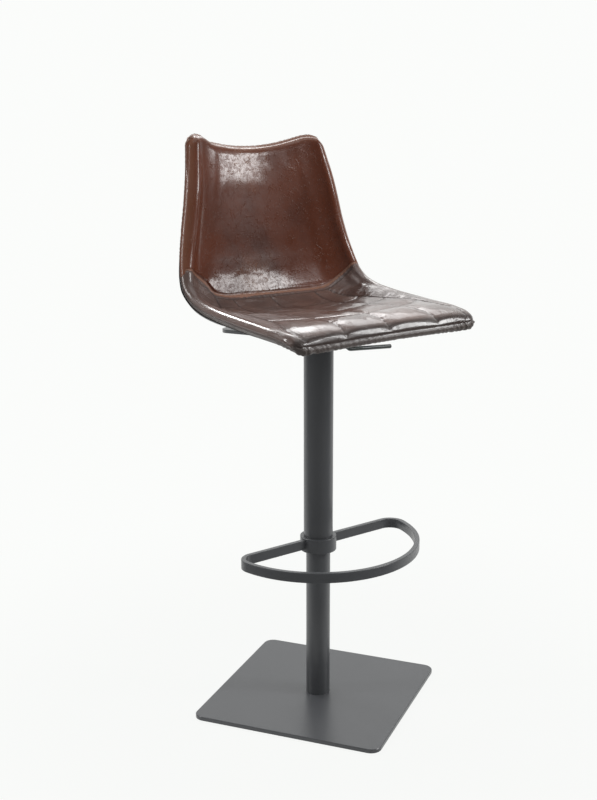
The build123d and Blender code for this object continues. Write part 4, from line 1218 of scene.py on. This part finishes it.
# Floor, light and world
stageSettings = {
    "size": 40.0, "floorColour": (0.55, 0.555, 0.55), "white": (0.965, 0.975, 0.962),
    "near": 0.4, "far": 1.2, "nearShare": 0.93,
    "backdrop": (0.60, 0.80, 0.0),     # the way to the white backdrop; the room on the other side is dim
    "room": 0.18, "soft": (0.26, 0.52),     # light from the sides and from above
}
lamps = {
    "rightBox": {"place": (1.84, -1.84, 2.05), "aim": (0, 0, 1.0), "size": (0.74, 1.50), "power": 40},
    "rimBox": {"place": (-0.49, 2.31, 2.70), "aim": (-0.1, 0, 0.85), "size": (0.9, 0.35), "power": 18},
    "rearBox": {"place": (0.6, 2.1, 3.0), "aim": (0, 0, 0.85), "size": (2.6, 0.7), "power": 18},
    "backBox": {"place": (1.70, 1.50, 2.75), "aim": (0, 0, 0.85), "size": (1.5, 1.0), "power": 11},
    "topBox": {"place": (0.1, -0.1, 3.3), "aim": (0, 0, 0.8), "size": (2.0, 2.0), "power": 12},
    "leftBox": {"place": (-2.65, 1.5, 1.85), "aim": (0, 0, 0.95), "size": (0.4, 1.8), "power": 28},
}


def backdropShare(tree, way):
    return addNode(tree, "VectorMath", {"operation": "DOT_PRODUCT"}, i0=way,
                   i1=stageSettings["backdrop"]).outputs["Value"]


def whiteBackdrop(tree, bright):
    # White to the camera, and to the gloss only on the backdrop's side: where it is seen, and how bright
    path = addNode(tree, "LightPath").outputs
    seen = most(tree, path["Is Camera Ray"], path["Is Glossy Ray"])
    return seen, most(tree, path["Is Camera Ray"], bright)


def makeStage(settings):
    bm = bmesh.new()
    bmesh.ops.create_grid(bm, x_segments=8, y_segments=8, size=settings["size"] / 2)
    floor = addObject("floor", intoMesh(bm, bpy.data.meshes.new("floor")))
    material, tree, shader = newMaterial("floorPaint", Roughness=0.85, Specular_IOR_Level=0.1)
    place = objectPlace(tree)
    speck = ramp(tree, noise(tree, place, 3, 2), 0.3, 0.7)
    link(tree, shader, Base_Color=mixColour(tree, speck, settings["floorColour"],
                                            shade(settings["floorColour"], 0.985)))
    # it keeps the object's shadow close by
    reach = addNode(tree, "VectorMath", {"operation": "LENGTH"}, i0=place).outputs["Value"]
    away = ramp(tree, reach, settings["near"], settings["far"], settings["nearShare"], 1.0)
    bright = maths(tree, "SUBTRACT", backdropShare(tree, place), times(tree, reach, 0.45))
    seen, strength = whiteBackdrop(tree, ramp(tree, bright, -0.8, -0.2, settings["room"], 1.0))
    glow = addNode(tree, "Emission", Color=(*settings["white"], 1), Strength=strength)
    blend = addNode(tree, "MixShader", Fac=times(tree, seen, away), i1=shader.outputs[0], i2=glow.outputs[0])
    link(tree, next(n for n in tree.nodes if n.type == "OUTPUT_MATERIAL"), Surface=blend.outputs[0])
    floor.data.materials.append(material)


def makeLamps(lamps):
    for name, lamp in lamps.items():
        data = bpy.data.lights.new(name, "AREA")
        data.shape = "RECTANGLE"
        data.size, data.size_y = lamp["size"]
        data.energy = lamp["power"]
        light = addObject(name, data)
        light.visible_camera = False
        light.location = lamp["place"]
        aim = Vector(lamp["aim"]) - Vector(lamp["place"])
        light.rotation_euler = aim.to_track_quat("-Z", "Y").to_euler()


def makeWorld(settings):
    world = bpy.data.worlds.new("studio")
    bpy.context.scene.world = world
    world.use_nodes = True
    tree = world.node_tree
    tree.nodes.clear()
    way = addNode(tree, "TexCoord").outputs["Generated"]
    bright = ramp(tree, backdropShare(tree, way), 0.25, 0.75, settings["room"], 1.0)
    seen, strength = whiteBackdrop(tree, bright)
    height = addNode(tree, "SeparateXYZ", Vector=way).outputs[2]
    soft = addNode(tree, "Background", Color=(1, 1, 1, 1),
                   Strength=ramp(tree, height, 0.0, 0.8, *settings["soft"]))
    white = addNode(tree, "Background", Color=(*settings["white"], 1), Strength=strength)
    blend = addNode(tree, "MixShader", Fac=seen, i1=soft.outputs[0], i2=white.outputs[0])
    link(tree, addNode(tree, "OutputWorld"), Surface=blend.outputs[0])


makeStage(stageSettings)
makeLamps(lamps)
makeWorld(stageSettings)
bpy.context.scene.view_settings.view_transform = "Standard"
print("stage, lamps and world set")
